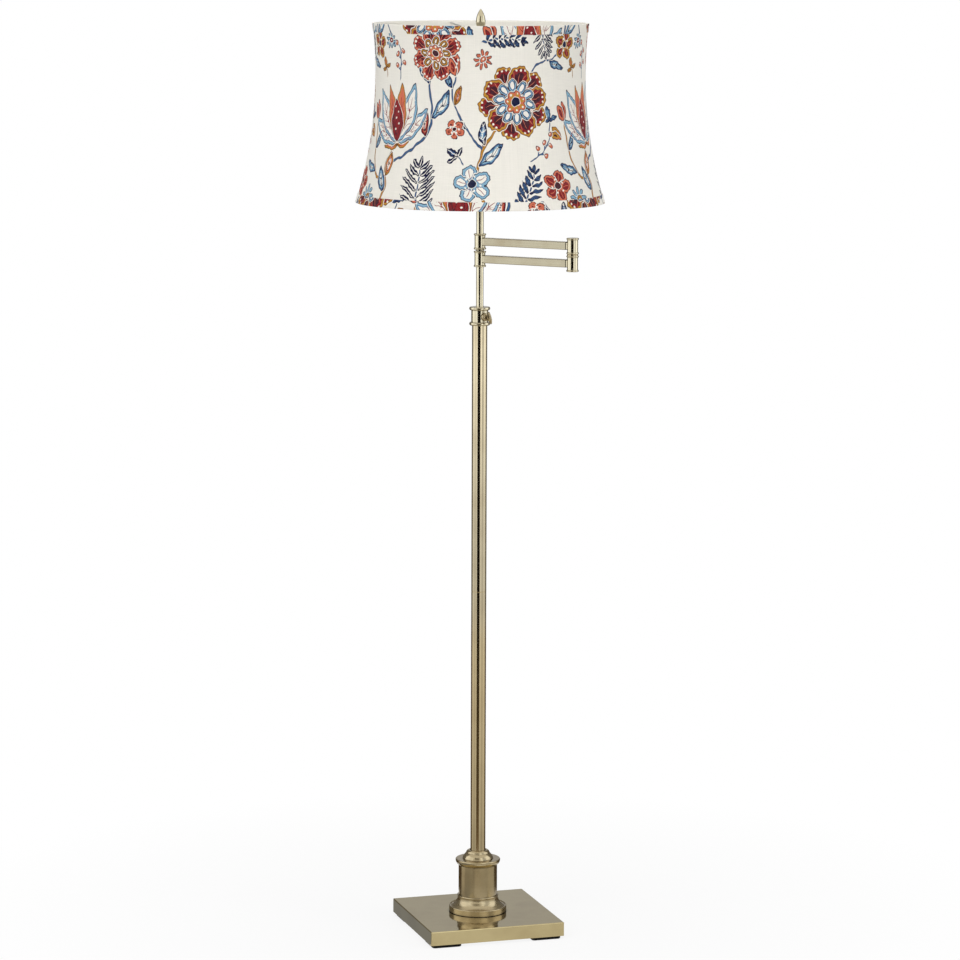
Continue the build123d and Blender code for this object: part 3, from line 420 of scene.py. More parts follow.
class Artwork:
    """Distances, in millimetres, from points of the unrolled cloth to each ink of the print."""

    def __init__(self, u, v):
        turn = 2 * math.pi / TILE
        self.u = u + 1.1 * np.sin(v / 9.0 + 2 * np.sin(3 * turn * u)) + 0.5 * np.sin(v / 3.7 + 11 * turn * u)
        self.v = v + 1.1 * np.sin(17 * turn * u + v / 23) + 0.5 * np.sin(41 * turn * u - v / 6)
        self.fill, self.side, self.gap, self.nearest = (
            {name: np.full(u.shape, FAR) for name in names} for names in (FILLS, STROKES, STROKES, KINDS))
        self.tone = {kind: np.zeros(u.shape) for kind in KINDS}

    def around(self, at, reach):
        """Points near a place, across the joins of the repeats too."""
        x = (self.u - at[0] + TILE / 2) % TILE - TILE / 2
        y = self.v - at[1]
        near = np.nonzero((np.abs(x) < reach) & (np.abs(y) < reach))[0]
        return near, x[near], y[near]

    def local(self, at, turn, reach):
        """Points near a place, in its own turned axes."""
        near, x, y = self.around(at, reach)
        c, s = cos_sin(turn)
        return near, c * x + s * y, c * y - s * x

    def colour(self, kind, near, distance, tone):
        closest = self.nearest[kind]
        self.tone[kind][near[distance < closest[near]]] = tone
        closest[near] = np.minimum(closest[near], distance)

    def lay(self, layer, near, distance, tone):
        field = self.fill[layer]
        field[near] = np.minimum(field[near], distance)
        self.colour("leaf" if layer == "leaf" else "petal", near, distance, tone)

    def stroke(self, layer, points, start, end=None, tone=None, count=9):
        """Line of half width start to end through points of the cloth."""
        end = start if end is None else end
        line = curve(points, count)
        total = len(line) - 1
        for n, (a, b) in enumerate(zip(line, line[1:])):
            half = start + (end - start) * n / total
            span = math.hypot(*(b - a))
            near, x, y = self.around((a + b) / 2, span / 2 + half + LINE_MARGIN)
            along = (b - a) / max(span, 1e-6)
            s = x * along[0] + y * along[1]
            across = y * along[0] - x * along[1]
            over = np.maximum(np.abs(s) - span / 2, 0)
            gap = np.hypot(over, across)
            wins = gap < self.gap[layer][near]
            at = near[wins]
            self.gap[layer][at] = gap[wins]
            self.side[layer][at] = np.copysign(gap, across)[wins] / half
            if tone is not None:
                self.colour("leaf", near, gap - half, tone)

    def leaf(self, at, turn, length, width, bend=0.0, tone=BLUE, veined=True, ripple=0.0):
        near, x, y = self.local(at, turn, length + width)
        y = y - bend * x * x / length
        distance = almond(x, y, length, width)
        if ripple:
            distance = distance + ripple * np.cos(2 * math.pi * x / 7.0)
        self.lay("leaf", near, distance, tone)
        place = self.placer(at, turn, bend, length)
        self.stroke("vein", [place(t * length, 0) for t in (0.04, 0.3, 0.6, 0.88)], 0.62, 0.4, count=5)
        for n in range(3 if veined else 0):
            t = 0.2 + 0.55 * n / 2
            fan = width * 0.36 * math.sin(math.pi * min(t + 0.12, 1))
            for hand in (-1, 1):
                run = [place(t * length, 0), place((t + 0.17) * length, hand * fan)]
                self.stroke("vein", run if (n + hand) % 4 < 2 else run[::-1], 0.45, count=4)

    def placer(self, at, turn, bend=0.0, length=1.0):
        c, s = cos_sin(turn)

        def place(x, y):
            y = y + bend * x * x / length
            return at[0] + c * x - s * y, at[1] + s * x + c * y
        return place

    def petal(self, layer, at, turn, offset, length, width, tone, scallop=0.0, hatch=0):
        near, x, y = self.local(at, turn, offset + length + width)
        x = x - offset
        distance = egg(x, y, length, width)
        if scallop:
            distance = distance + scallop * np.cos(11 * np.arctan2(y / width, x / length))
        self.lay(layer, near, distance, tone)
        place = self.placer(at, turn)
        for n in range(hatch):
            lean = (n - (hatch - 1) / 2) * width * 0.27
            run = [place(offset - 0.30 * length, lean * 0.35), place(offset + 0.16 * length, lean)]
            self.stroke("vein", run if n % 2 else run[::-1], 0.5, 0.4, count=4)

    def whorl(self, layers, at, turn, count, offset, length, width, tone, **marks):
        """Equal petals round a point, with the layers in turn."""
        for n in range(count):
            self.petal(layers[n % len(layers)], at, turn + n * 360 / count, offset, length, width, tone, **marks)

    def blade(self, layer, at, turn, length, width, tone, bend=0.0, hatch=True):
        """Pointed petal from at."""
        near, x, y = self.local(at, turn, length + width)
        y = y - bend * x * x / length
        self.lay(layer, near, almond(x, y, length, width), tone)
        if hatch:
            place = self.placer(at, turn, bend, length)
            self.stroke("vein", [place(t * length, 0) for t in (0.15, 0.45, 0.75)], 0.6, 0.4, count=4)
            for n, t in enumerate((0.28, 0.42, 0.56)):
                for hand in (-1, 1):
                    run = [place(t * length, hand * 1.2), place((t + 0.12) * length, hand * width * 0.26)]
                    self.stroke("vein", run if (n + hand) % 4 < 2 else run[::-1], 0.42, count=3)

    def disc(self, layer, at, radius, tone):
        near, x, y = self.around(at, radius + DISC_MARGIN)
        self.lay(layer, near, np.hypot(x, y) - radius, tone)

    def ring_of_dots(self, at, ring, radius, count, tone, start):
        for n in range(count):
            c, s = cos_sin(start + n * 360 / count)
            self.disc("dot", (at[0] + ring * c, at[1] + ring * s), radius, tone)

    def rosette(self, at, radius, tone, turn, petals):
        for n in range(petals):
            stretch = 1.0 if n % 2 else 0.94
            angle = turn + n * 360 / petals
            self.petal(PETAL_LAYERS[n % 2], at, angle, 0.64 * radius * stretch, 0.70 * radius, 0.60 * radius, tone,
                       scallop=0.9, hatch=3)
            rim = self.placer(at, angle)
            for lean in (-0.15, 0.0, 0.15):
                dot = 0.885 * radius * stretch
                self.disc("dot", rim(dot * math.cos(lean), dot * math.sin(lean)), 1.9, tone)
        self.whorl(("mid_petal",), at, turn + 180 / petals, petals, 0.42 * radius, 0.34 * radius, 0.25 * radius, tone)
        self.whorl(("heart",), at, turn + 13, 7, 0.19 * radius, 0.24 * radius, 0.20 * radius, tone)
        self.disc("eye", at, 0.13 * radius, tone)
        self.ring_of_dots(at, 0.23 * radius, 1.8, 7, tone, turn + 13)

    def tulip(self, at, turn, size, tone):
        for layer, lean, reach, width, bend in (
                ("back_petal", 68, 0.74, 0.25, 0.25), ("front_petal", 38, 0.94, 0.30, 0.20),
                ("mid_petal", 15, 0.90, 0.22, 0.10)):
            for hand in (-1, 1):
                self.blade(layer, at, turn + hand * lean, size * reach, size * width, tone, -hand * bend)
        self.blade("heart", at, turn, size * 0.66, size * 0.25, tone, hatch=False)
        place = self.placer(at, turn)
        for n in range(5):
            self.disc("dot", place(size * (0.20 + 0.085 * n), (1 - 2 * (n % 2)) * size * 0.03), 1.8, tone)
        for hand in (-1, 1):
            petal = self.placer(at, turn + 38 * hand, -0.20 * hand, size * 0.94)
            for n in range(5):
                share = 0.30 + 0.10 * n
                self.disc("dot", petal(size * share, hand * 0.072 * size * math.sin(math.pi * share)), 1.7, tone)
        for lean in (-75, 0, 75):
            self.leaf(place(-size * 0.06, 0), turn + lean, size * 0.32, size * 0.13, 0.1, GOLD, veined=False)

    def blossom(self, at, radius, tone, turn):
        self.whorl(PETAL_LAYERS, at, turn, 5, 0.56 * radius, 0.86 * radius, 0.76 * radius, tone, scallop=0.5, hatch=1)
        self.disc("eye", at, 0.24 * radius, tone)
        self.ring_of_dots(at, 0.40 * radius, 1.9, 5, tone, turn + 36)

    def daisy(self, at, radius, tone, turn):
        self.whorl(PETAL_LAYERS, at, turn, 9, 0.60 * radius, 0.76 * radius, 0.34 * radius, tone)
        self.disc("heart", at, 0.30 * radius, tone)
        self.disc("dot", at, 1.8, tone)

    def trefoil(self, at, turn, size, tone):
        place = self.placer(at, turn)
        self.stroke("stem", [place(-0.55 * size, 0.08 * size), place(-0.2 * size, 0), place(0.1 * size, 0)],
                    1.0, 0.8, tone, count=4)
        for lean, reach in ((-70, 0.75), (0, 1.0), (70, 0.75)):
            self.leaf(at, turn + lean, size * reach, size * reach * 0.42, 0.0, tone, veined=False, ripple=0.5)

    def bud(self, at, turn, size, tone):
        self.blade("back_petal", at, turn - 20, size, size * 0.42, tone, 0.15, hatch=False)
        self.blade("front_petal", at, turn + 18, size * 0.94, size * 0.44, tone, -0.15, hatch=False)
        for hand in (-1, 1):
            self.leaf(at, turn + 42 * hand, size * 0.52, size * 0.20, -0.2 * hand, veined=False)

    def berries(self, at, turn, tone):
        place = self.placer(at, turn, 0.006, 1.0)
        self.stroke("stem", [place(x, 0) for x in (0, 14, 30, 46)], 1.1, 0.8, NAVY, count=5)
        for n in range(5):
            hand = 1 - 2 * (n % 2)
            x = 12 + 34 * n / 4
            tip = place(x + 7, hand * (11 - 0.12 * x))
            self.stroke("stem", [place(x, 0), tip], 0.8, 0.7, NAVY, count=3)
            self.disc("heart", tip, 4.4, tone)
            self.disc("dot", (tip[0] - 1.0, tip[1] + 1.2), 1.7, tone)

    def fern(self, at, turn, length, tone, bend, pairs, width):
        """Frond of slim leaflets in pairs along a bending rib."""
        place = self.placer(at, turn, bend, length)
        self.stroke("stem", [place(t * length, 0) for t in np.linspace(0, 0.97, 6)], 1.9, 0.8, tone, count=6)
        slim = 0.60 * length / pairs
        for n in range(pairs):
            t = 0.10 + 0.80 * n / (pairs - 1)
            reach = width * (0.30 + 0.70 * math.sin(math.pi * (0.22 + 0.72 * t)))
            rib = turn + math.degrees(math.atan(2 * bend * t))
            for hand in (-1, 1):
                self.leaf(place(t * length, 0), rib + hand * (62 - 16 * t), reach, min(slim, 0.36 * reach),
                          -0.10 * hand, tone, veined=False, ripple=0.3)
        self.leaf(place(0.93 * length, 0), turn + math.degrees(math.atan(2 * bend)), width * 0.55, slim * 0.9, 0,
                  tone, veined=False)

    def spray(self, points, start, end, tone, leaves):
        """Stem with leaves: each leaf is a share along it, a side, a length, a width and a tone."""
        self.stroke("stem", points, start, end, tone)
        line = curve(points)
        for share, hand, length, width, leaf_tone in leaves:
            n = min(int(share * (len(line) - 1)), len(line) - 2)
            a, b = line[n], line[n + 1]
            heading = math.degrees(math.atan2(b[1] - a[1], b[0] - a[0]))
            self.leaf(tuple(a), heading + hand * 48, length, width, -0.22 * hand, leaf_tone)

    def draw(self):
        """The whole repeat: flowers on arching stems with leaves, ferns, buds and berries."""
        self.spray([(58, -12), (36, 40), (44, 96), (86, 150)], 2.6, 2.0, GOLD,
                   [(0.55, -1, 52, 20, BLUE), (0.74, 1, 40, 15, NAVY)])
        self.spray([(110, 200), (140, 232), (168, 240), (188, 252)], 1.7, 1.4, BLUE,
                   [(0.62, -1, 36, 14, BLUE)])
        self.spray([(236, -14), (250, 30), (242, 62), (256, 96)], 2.5, 1.9, GOLD,
                   [(0.30, 1, 44, 17, BLUE), (0.52, -1, 42, 17, GOLD)])
        self.spray([(244, 66), (292, 92), (330, 132), (326, 196), (334, 240)], 2.2, 1.7, BLUE,
                   [(0.42, 1, 38, 15, RED), (0.58, -1, 54, 20, BLUE), (0.78, 1, 42, 16, BLUE)])
        self.spray([(44, 96), (14, 134), (-6, 176), (-2, 214)], 1.7, 1.3, BLUE,
                   [(0.30, 1, 32, 13, BLUE), (0.60, -1, 32, 13, GOLD), (0.82, 1, 28, 11, BLUE)])
        self.spray([(250, 30), (214, 56), (198, 100), (196, 138)], 1.8, 1.3, GOLD,
                   [(0.36, 1, 40, 15, BLUE), (0.62, -1, 32, 13, BLUE)])
        self.fern((322, -14), 104, 84, NAVY, -0.20, 7, 40)
        self.fern((150, 308), -98, 60, NAVY, 0.20, 6, 27)
        self.fern((44, 268), 20, 66, BLUE, -0.35, 7, 22)
        self.fern((92, -6), 48, 76, BLUE, 0.30, 7, 25)
        self.berries((122, 78), 24, RED)
        self.berries((262, 208), 74, RED)
        self.rosette((98, 172), 62, GOLD, 8, 10)
        self.tulip((264, 104), 98, 108, BLUE)
        self.rosette((337, 250), 47, RED, 20, 8)
        self.blossom((198, 262), 25, GOLD, 10)
        self.blossom((28, 42), 30, BLUE, 30)
        self.blossom((164, 36), 27, RED, 0)
        self.bud((196, 138), 110, 34, RED)
        self.bud((-2, 214), 96, 34, RED)
        self.bud((186, 112), 150, 28, GOLD)
        self.blossom((372, 128), 17, RED, 50)
        self.daisy((206, 14), 20, NAVY, 10)
        self.daisy((44, 240), 17, RED, 20)
        self.daisy((240, 268), 15, BLUE, 0)
        self.trefoil((160, 140), 96, 26, BLUE)
        self.trefoil((4, 84), 140, 24, NAVY)
        self.trefoil((222, 222), 112, 22, GOLD)
        return self


# Shade

SHARP_EDGE, AREA_STEPS = math.radians(50), 200
INNER_CUTS, LINING_CUTS, LINING_COLUMNS = 5, 31, 240
TRIM_CUTS = (7, 0, 0, 2, 0, 0, 3, 0, 3, 2, 3, 0)
TRIM_GAP, TRIM_ROUND = 0.1 * MM, 0.5 * MM
# Where the cover and each trim are cut from the printed cloth, in millimetres
COVER_SHIFT, TOP_SHIFT, BOTTOM_SHIFT = (0.0, 0.0), (136.0, -129.0), (250.0, 130.0)


def placed(name, data):
    made = bpy.data.objects.new(name, data)
    bpy.context.scene.collection.objects.link(made)
    return made


def made_of(bm, name):
    """An object with the mesh that bm holds."""
    mesh = bpy.data.meshes.new(name)
    bm.to_mesh(mesh)
    bm.free()
    return placed(name, mesh)


def shade_radius(sizes, z, depth):
    """Radius of the layer that lies a depth inside the cover's outer face."""
    centre = sizes.waist_radius + sizes.curve_radius
    return centre - math.sqrt((sizes.curve_radius + depth) ** 2 - (z - sizes.waist_level) ** 2)


def wall(near, far, low, high):
    return (near, low), (near, high), (far, high), (far, low)


def spun_layer(name, sizes, corners, cuts, columns):
    """Closed layer of the shade: a flat section of depth and height, divided, bent and spun round the axis."""
    bm = bmesh.new()
    section = [bm.verts.new((depth, 0, z)) for depth, z in corners]
    edges = [bm.edges.new(pair) for pair in zip(section, section[1:] + section[:1])]
    for edge, count in zip(edges, cuts):
        if count:
            bmesh.ops.subdivide_edges(bm, edges=[edge], cuts=count)
    for vert in bm.verts:
        vert.co.x = shade_radius(sizes, vert.co.z, vert.co.x)
    bmesh.ops.spin(
        bm, geom=bm.verts[:] + bm.edges[:], cent=(0, 0, 0), axis=(0, 0, 1), angle=2 * math.pi,
        steps=columns, use_merge=True)
    bmesh.ops.recalc_face_normals(bm, faces=bm.faces)
    piece = made_of(bm, name)
    piece.data.polygons.foreach_set("use_smooth", [True] * len(piece.data.polygons))
    piece.data.set_sharp_from_angle(angle=SHARP_EDGE)
    return piece


def points_of(piece, sizes):
    """The points of a piece, their radius and their depth inside the cover's outer face."""
    points = np.empty(len(piece.data.vertices) * 3)
    piece.data.vertices.foreach_get("co", points)
    points = points.reshape(-1, 3)
    radius = np.hypot(points[:, 0], points[:, 1])
    centre = sizes.waist_radius + sizes.curve_radius
    depth = np.hypot(centre - radius, points[:, 2] - sizes.waist_level) - sizes.curve_radius
    return points, radius, depth


def print_on(piece, sizes, shift, face_depth):
    """Writes the print's distances on a piece, whose printed face lies at or outside face_depth."""
    points, _, depth = points_of(piece, sizes)
    around = np.arctan2(points[:, 1], points[:, 0]) / (2 * math.pi) * REPEATS * TILE
    rise = (points[:, 2] - sizes.bottom) / MM
    art = Artwork(around + shift[0], rise * STRETCH_UP + shift[1]).draw()
    printed = depth < face_depth
    values = dict(art.fill, leaf_tone=art.tone["leaf"], petal_tone=art.tone["petal"])
    for name in STROKES:
        values[name + "_side"], values[name + "_gap"] = art.side[name], art.gap[name]
    for name in PRINT_ATTRIBUTES:
        bare = 0.0 if name.endswith("tone") else FAR
        attribute = piece.data.attributes.new("ink_" + name, "FLOAT", "POINT")
        attribute.data.foreach_set("value", np.where(printed, values[name], bare).astype(np.float32))


def overlap_seam(piece, sizes):
    """Raises the overlap where the cover's ends meet at the back."""
    points, radius, depth = points_of(piece, sizes)
    off = (np.arctan2(points[:, 1], points[:, 0]) - math.pi / 2) * radius
    inner = np.minimum(points[:, 2] - sizes.bottom, sizes.top - points[:, 2])
    raised = (np.abs(off) < sizes.seam / 2) & (depth < sizes.cloth / 2) & (inner > sizes.trim_height)
    points[raised, :2] *= (1 + sizes.seam_rise / radius[raised])[:, None]
    piece.data.vertices.foreach_set("co", points.ravel())
    piece.data.update()


def layer_area(sizes, depth, low, high):
    """Area of a layer, in square metres, the length of its section and its largest radius."""
    steps = np.linspace(low, high, AREA_STEPS)
    radii = np.array([shade_radius(sizes, z, depth) for z in steps])
    runs = np.hypot(np.diff(radii), np.diff(steps))
    area = np.sum(2 * math.pi * (radii[1:] + radii[:-1]) / 2 * runs)
    return float(area), float(np.sum(runs)), float(radii.max())


def wear(piece, material, body, slot_name, *nodes):
    piece.data.materials.append(material)
    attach(piece, body)
    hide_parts(*nodes)


class LAMP_OT_shade_cover(Operator):
    """Make the printed cover of the shade"""
    bl_idname = "lamp.shade_cover"
    bl_label = "Shade cover"

    def execute(self, context):
        sizes = context.scene.lamp_shade
        corners = wall(0, sizes.cloth, sizes.bottom, sizes.top)
        piece = spun_layer("shade_cover_cloth", sizes, corners, (sizes.rows - 1, 0, INNER_CUTS, 0), sizes.columns)
        print_on(piece, sizes, COVER_SHIFT, sizes.cloth / 2)
        overlap_seam(piece, sizes)
        wear(piece, printed_finish(context.scene.lamp_inks), "upper_swing", "shade_print", "shade_cover")
        area, run, radius = layer_area(sizes, 0, sizes.bottom, sizes.top)
        return {"FINISHED"}


class LAMP_OT_shade_lining(Operator):
    """Make the plain lining of the shade"""
    bl_idname = "lamp.shade_lining"
    bl_label = "Shade lining"

    def execute(self, context):
        sizes = context.scene.lamp_shade
        near, far = sizes.lining_depth, sizes.lining_depth + sizes.lining_cloth
        corners = wall(near, far, sizes.bottom, sizes.lining_top)
        piece = spun_layer("shade_lining_cloth", sizes, corners, (LINING_CUTS, 0, LINING_CUTS, 0), LINING_COLUMNS)
        material, tree, shader = start_material("lining_cloth")
        cloth_surface(tree, shader, tuple(context.scene.lamp_inks.lining))
        wear(piece, material, "upper_swing", "shade_white", "shade_lining")
        area, run, radius = layer_area(sizes, near, sizes.bottom, sizes.lining_top)
        return {"FINISHED"}


class LAMP_OT_shade_trims(Operator):
    """Make the tapes that are folded over the rims of the shade"""
    bl_idname = "lamp.shade_trims"
    bl_label = "Shade trims"

    def execute(self, context):
        sizes = context.scene.lamp_shade
        cloth = bpy.data.materials["printed_cloth"]
        gap, soft, nip = TRIM_GAP, TRIM_ROUND, 0.3 * TRIM_ROUND
        back = sizes.lining_depth + sizes.lining_cloth + gap
        face, far = -gap - sizes.trim_thickness, back + sizes.trim_thickness
        for name, rim, inward, shift in (
                ("shade_top_trim", sizes.top, -1, TOP_SHIFT), ("shade_bottom_trim", sizes.bottom, 1, BOTTOM_SHIFT)):
            edge = rim + inward * sizes.trim_height
            crown = rim - inward * (gap + sizes.trim_thickness)
            fold = rim - inward * gap
            corners = (
                (face, edge), (face, crown + inward * soft), (face + nip, crown + inward * nip),
                (face + soft, crown), (far - soft, crown), (far - nip, crown + inward * nip),
                (far, crown + inward * soft), (far, edge), (back, edge), (back, fold), (-gap, fold), (-gap, edge))
            piece = spun_layer(name + "_tape", sizes, corners, TRIM_CUTS, sizes.columns)
            print_on(piece, sizes, shift, sizes.cloth)
            wear(piece, cloth, "upper_swing", "shade_print", name)
            outside = 2 * math.pi * shade_radius(sizes, rim, 0)
        return {"FINISHED"}


# Finishes of the pieces that come from model.glb

# The arms' brass is the hubs' brass made darker by a share: painted shade for the darker reflections of their flat
# faces
ARM_BEARING, ARM_PAINTED_SHADE = math.radians(46), 0.70
HUB_PIECES = (
    "lower_hub", "elbow_lower_hub", "elbow_upper_hub", "upper_hub", "elbow_bottom_cap", "elbow_top_cap",
    "upper_hub_plug", "lock_collar", "pivot_nut", "finial")
PEDESTAL_PIECES = ("pedestal_column", "pedestal_cap", "pole_cup", "elbow_washer")
SOCKET_PIECES = (
    "socket_cap", "socket_shell", "screw_shell", "harp", "harp_ferrules", "harp_stud", "harp_saddle",
    "switch_key", "centre_contact", "lower_pivot", "elbow_pivot", "elbow_nut", "stem_nipple", "clamp_pad")
STEEL_PIECES = (
    "bottom_plate", "plate_screws", "base_rod", "base_washer", "base_nut", "pole_plug", "pole_coupling",
    "shade_frame", "shade_spider")
# Colour, roughness, scale and strength of the grain, shine and pieces of each moulding or casting
MOULDINGS = {
    "cast_iron": ((0.10, 0.10, 0.105), 0.85, 160.0, 0.6, 0.5, ("base_weight",)),
    "black_rubber": ((0.009, 0.008, 0.008), 0.85, 420.0, 0.35, 0.12, ("foot_pads", "cord_bushing")),
    "nylon": ((0.74, 0.72, 0.66), 0.45, 300.0, 0.10, 0.5, ("guide_bush", "riser_stop", "thrust_washer")),
    "phenolic": ((0.020, 0.018, 0.016), 0.30, 240.0, 0.10, 0.5, ("socket_body",)),
    "fibre_sleeve": ((0.22, 0.15, 0.08), 0.75, 380.0, 0.25, 0.5, ("socket_insulator",))}


def finish_nodes(material, names):
    for name in names:
        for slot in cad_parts[name].material_slots:
            slot.material = material


class LAMP_OT_brass(Operator):
    """Finish the brass pieces"""
    bl_idname = "lamp.brass"
    bl_label = "Brass pieces"

    def execute(self, context):
        metal = context.scene.lamp_metal
        polish, satin = metal.polish, metal.satin
        drawn, joined, fine = dict(tone=0.2, bite=0.03), dict(alone=False), dict(tone=0.2, bite=0.04, alone=False)
        for name, colour, roughness, grain, look, pieces in (
                ("drawn_brass", metal.brass, polish, DRAWN, drawn, ("lower_pole", "upper_pole")),
                ("drawn_arm_brass", metal.arm, polish, DRAWN, drawn, ("riser_tube", "stem_tube")),
                ("satin_brass", metal.pedestal, satin, TURNED, joined, PEDESTAL_PIECES),
                ("brushed_foot_brass", metal.pedestal, satin * 1.25, TURNED, joined, ("pedestal_foot",)),
                ("turned_arm_brass", metal.arm, polish, TURNED, fine, HUB_PIECES),
                ("clamp_screw_brass", metal.pedestal, polish, TURNED, dict(bite=0.04), ("thumb_screw",)),
                # Darker copy of the arm brass: painted shade
                ("brushed_arm_brass", scaled(metal.arm, ARM_PAINTED_SHADE), satin, BRUSHED, dict(turn=ARM_BEARING), (
                    "lower_arm", "upper_arm")),
                ("base_plate_brass", metal.plate, polish * 0.6, BRUSHED, fine, ("base_cover",)),
                ("bright_brass", metal.bright, polish, TURNED, dict(tone=0.15, bite=0.06), SOCKET_PIECES)):
            material = brass_finish(name, tuple(colour), tuple(metal.patina), roughness, grain, **look)
            finish_nodes(material, pieces)
        return {"FINISHED"}


class LAMP_OT_fittings(Operator):
    """Finish the steel, rubber, nylon and moulded pieces"""
    bl_idname = "lamp.fittings"
    bl_label = "Steel and moulded pieces"

    def execute(self, context):
        steel = tuple(context.scene.lamp_metal.steel)
        finish_nodes(plain_metal_finish("zinc_steel", steel, roughness=0.35, grain=120.0), STEEL_PIECES)
        for name, (*look, pieces) in MOULDINGS.items():
            finish_nodes(moulded_finish(name, *look), pieces)
        return {"FINISHED"}


# Studio

PLAIN_WHITE, COOL_WHITE = (1.0, 1.0, 1.0), (0.95, 0.99, 1.06)
WARM_WHITE, BROWN = (1.02, 0.97, 0.86), (1.0, 0.70, 0.38)
CAMERA_PLACE = (-1.8133, -5.8722, 1.6698)
CAMERA_TURN = (81.537, -0.197, -17.144)
CAMERA_LENS, CAMERA_SENSOR, CAMERA_REACH = 141.8, 36.0, 200.0
CAMERA_BEARING = math.degrees(math.atan2(CAMERA_PLACE[1], CAMERA_PLACE[0]))
FLOOR_SIZE, FLOOR_FACES = 30.0, 8
# Place, target and size of each lamp
LAMPS = {
    "key": ((-3.4, -2.6, 2.6), (0.0, 0.0, 1.0), (2.0, 2.6)),
    "fill": ((3.2, -3.0, 2.0), (0.0, 0.0, 0.8), (2.0, 2.6)),
    "top": ((0.0, -0.6, 4.2), (0.0, 0.0, 0.8), (2.4, 2.4))}
# Cards that the metal reflects. A band has a distance, a height and a glow at each end, and a tint. A sector
# runs between two bearings, seen from the camera, and has its share of the glow. LOW is just above the floor,
# WALL is the distance of the upright cards, and DIM is the glow of the dark ones.
LOW, WALL, DIM, CARD_STEPS = 0.002, 2.70, 0.006, 24
SIDE_LOW_BANDS = (
    ((0.50, LOW, 0.58), (0.81, LOW, 0.72), WARM_WHITE), ((0.81, LOW, 0.72), (WALL, LOW, 0.95), WARM_WHITE),
    ((WALL, LOW, 0.95), (WALL, 0.22, 1.02), COOL_WHITE), ((WALL, 0.22, 1.02), (WALL, 0.60, 1.68), COOL_WHITE))
CARDS = {
    "near": (
        (((0.25, LOW, 0.57), (0.50, LOW, 0.60), WARM_WHITE),),
        ((-110, -82, 1.15), (-82, -18, 0.72), (-18, 14, 1.1), (14, 60, 0.85), (60, 110, 1.0))),
    "side": (
        (*SIDE_LOW_BANDS, ((WALL, 0.60, 1.68), (WALL, 2.90, 1.68), COOL_WHITE)),
        ((-110, -76, 1.03), (-76, -48, 0.84), (-48, -39, 1.0), (24, 40, 1.07), (40, 68, 0.80), (68, 110, 1.03))),
    "inner": (
        (*SIDE_LOW_BANDS, ((WALL, 0.60, 1.68), (WALL, 0.80, 1.68), COOL_WHITE)),
        ((-39, -28, 1.0), (13, 24, 1.07))),
    "front": (
        (((0.50, LOW, 0.26), (0.81, LOW, 0.14), BROWN), ((0.81, LOW, 0.14), (WALL, LOW, 0.015), BROWN),
         ((WALL, LOW, DIM), (24.0, LOW, DIM), BROWN), ((WALL, 1.30, 0.30), (WALL, 3.20, 0.30), WARM_WHITE)),
        ((-28, 13, 1.0),)),
    "high": (
        (((9.0, 0.003, DIM), (24.0, 0.003, DIM), BROWN), ((24.0, 0.003, DIM), (24.0, 2.80, DIM), BROWN)),
        ((-39, 24, 1.0),)),
    "right": (
        (((2.66, 0.22, 0.80), (2.66, 0.60, 0.86), COOL_WHITE), ((2.66, 0.60, 0.86), (2.66, 2.90, 0.70), COOL_WHITE)),
        ((40, 68, 1.0),)),
    "edge": (
        (((0.25, LOW, 0.09), (WALL, LOW, 0.16), BROWN), ((WALL, LOW, 0.20), (WALL, 3.20, 0.34), WARM_WHITE)),
        ((-168, -110, 1.0), (110, 168, 1.0))),
    "back": ((((3.0, 0.03, 0.51), (3.0, 1.6, 0.51), PLAIN_WHITE),), ((166, 194, 1.0),)),
    "base": ((((0.118, 0.0025, 0.30), (0.25, 0.0025, 0.30), COOL_WHITE),), ((-130, -35, 1.0),))}


def area_lamp(name, place, target, size, power):
    lamp = bpy.data.lights.new(name, "AREA")
    lamp.shape = "RECTANGLE"
    lamp.size, lamp.size_y = size
    lamp.energy = power
    made = placed(name, lamp)
    made.location = place
    made.rotation_euler = (Vector(target) - Vector(place)).to_track_quat("-Z", "Y").to_euler()
    made.visible_glossy = False


def seen_rays(tree):
    """1 for rays that show the background: to the camera, in a reflection or through glass."""
    path = node(tree, "ShaderNodeLightPath")
    seen = maths(tree, "MAXIMUM", path.outputs["Is Camera Ray"], path.outputs["Is Glossy Ray"])
    return maths(tree, "MAXIMUM", seen, path.outputs["Is Transmission Ray"])


def white_world(sky):
    world = bpy.data.worlds.new("white_studio")
    world.use_nodes = True
    tree = world.node_tree
    put_all(tree, tree.nodes["Background"], {
        "Color": PLAIN_WHITE, "Strength": spread(tree, seen_rays(tree), sky, 1.0)})
    bpy.context.scene.world = world


def reflection_card(name, near, far, start, end, tint):
    """A band between two ends, each a distance, a height and a glow, that only reflections see.

    It is spun from one bearing to another, as seen from the camera."""
    bm = bmesh.new()
    ends = [bm.verts.new((reach, 0, level)) for reach, level, _ in (near, far)]
    edge = bm.edges.new(ends)
    bmesh.ops.rotate(
        bm, verts=ends, cent=(0, 0, 0), matrix=Matrix.Rotation(math.radians(CAMERA_BEARING + start), 3, "Z"))
    bmesh.ops.spin(
        bm, geom=ends + [edge], cent=(0, 0, 0), axis=(0, 0, 1), angle=math.radians(end - start), steps=CARD_STEPS)
    card = made_of(bm, name)
    material, tree, shader = start_material(name)
    from_centre = [math.hypot(reach, level) for reach, level, _ in (near, far)]
    put_all(tree, shader, {
        "Base Color": (0.0, 0.0, 0.0), "Specular IOR Level": 0.0, "Emission Color": tint,
        "Emission Strength": spread(tree, from_origin(tree), near[2], far[2], *from_centre)})
    card.data.materials.append(material)
    for ray in ("camera", "diffuse", "shadow", "transmission", "volume_scatter"):
        setattr(card, "visible_" + ray, False)


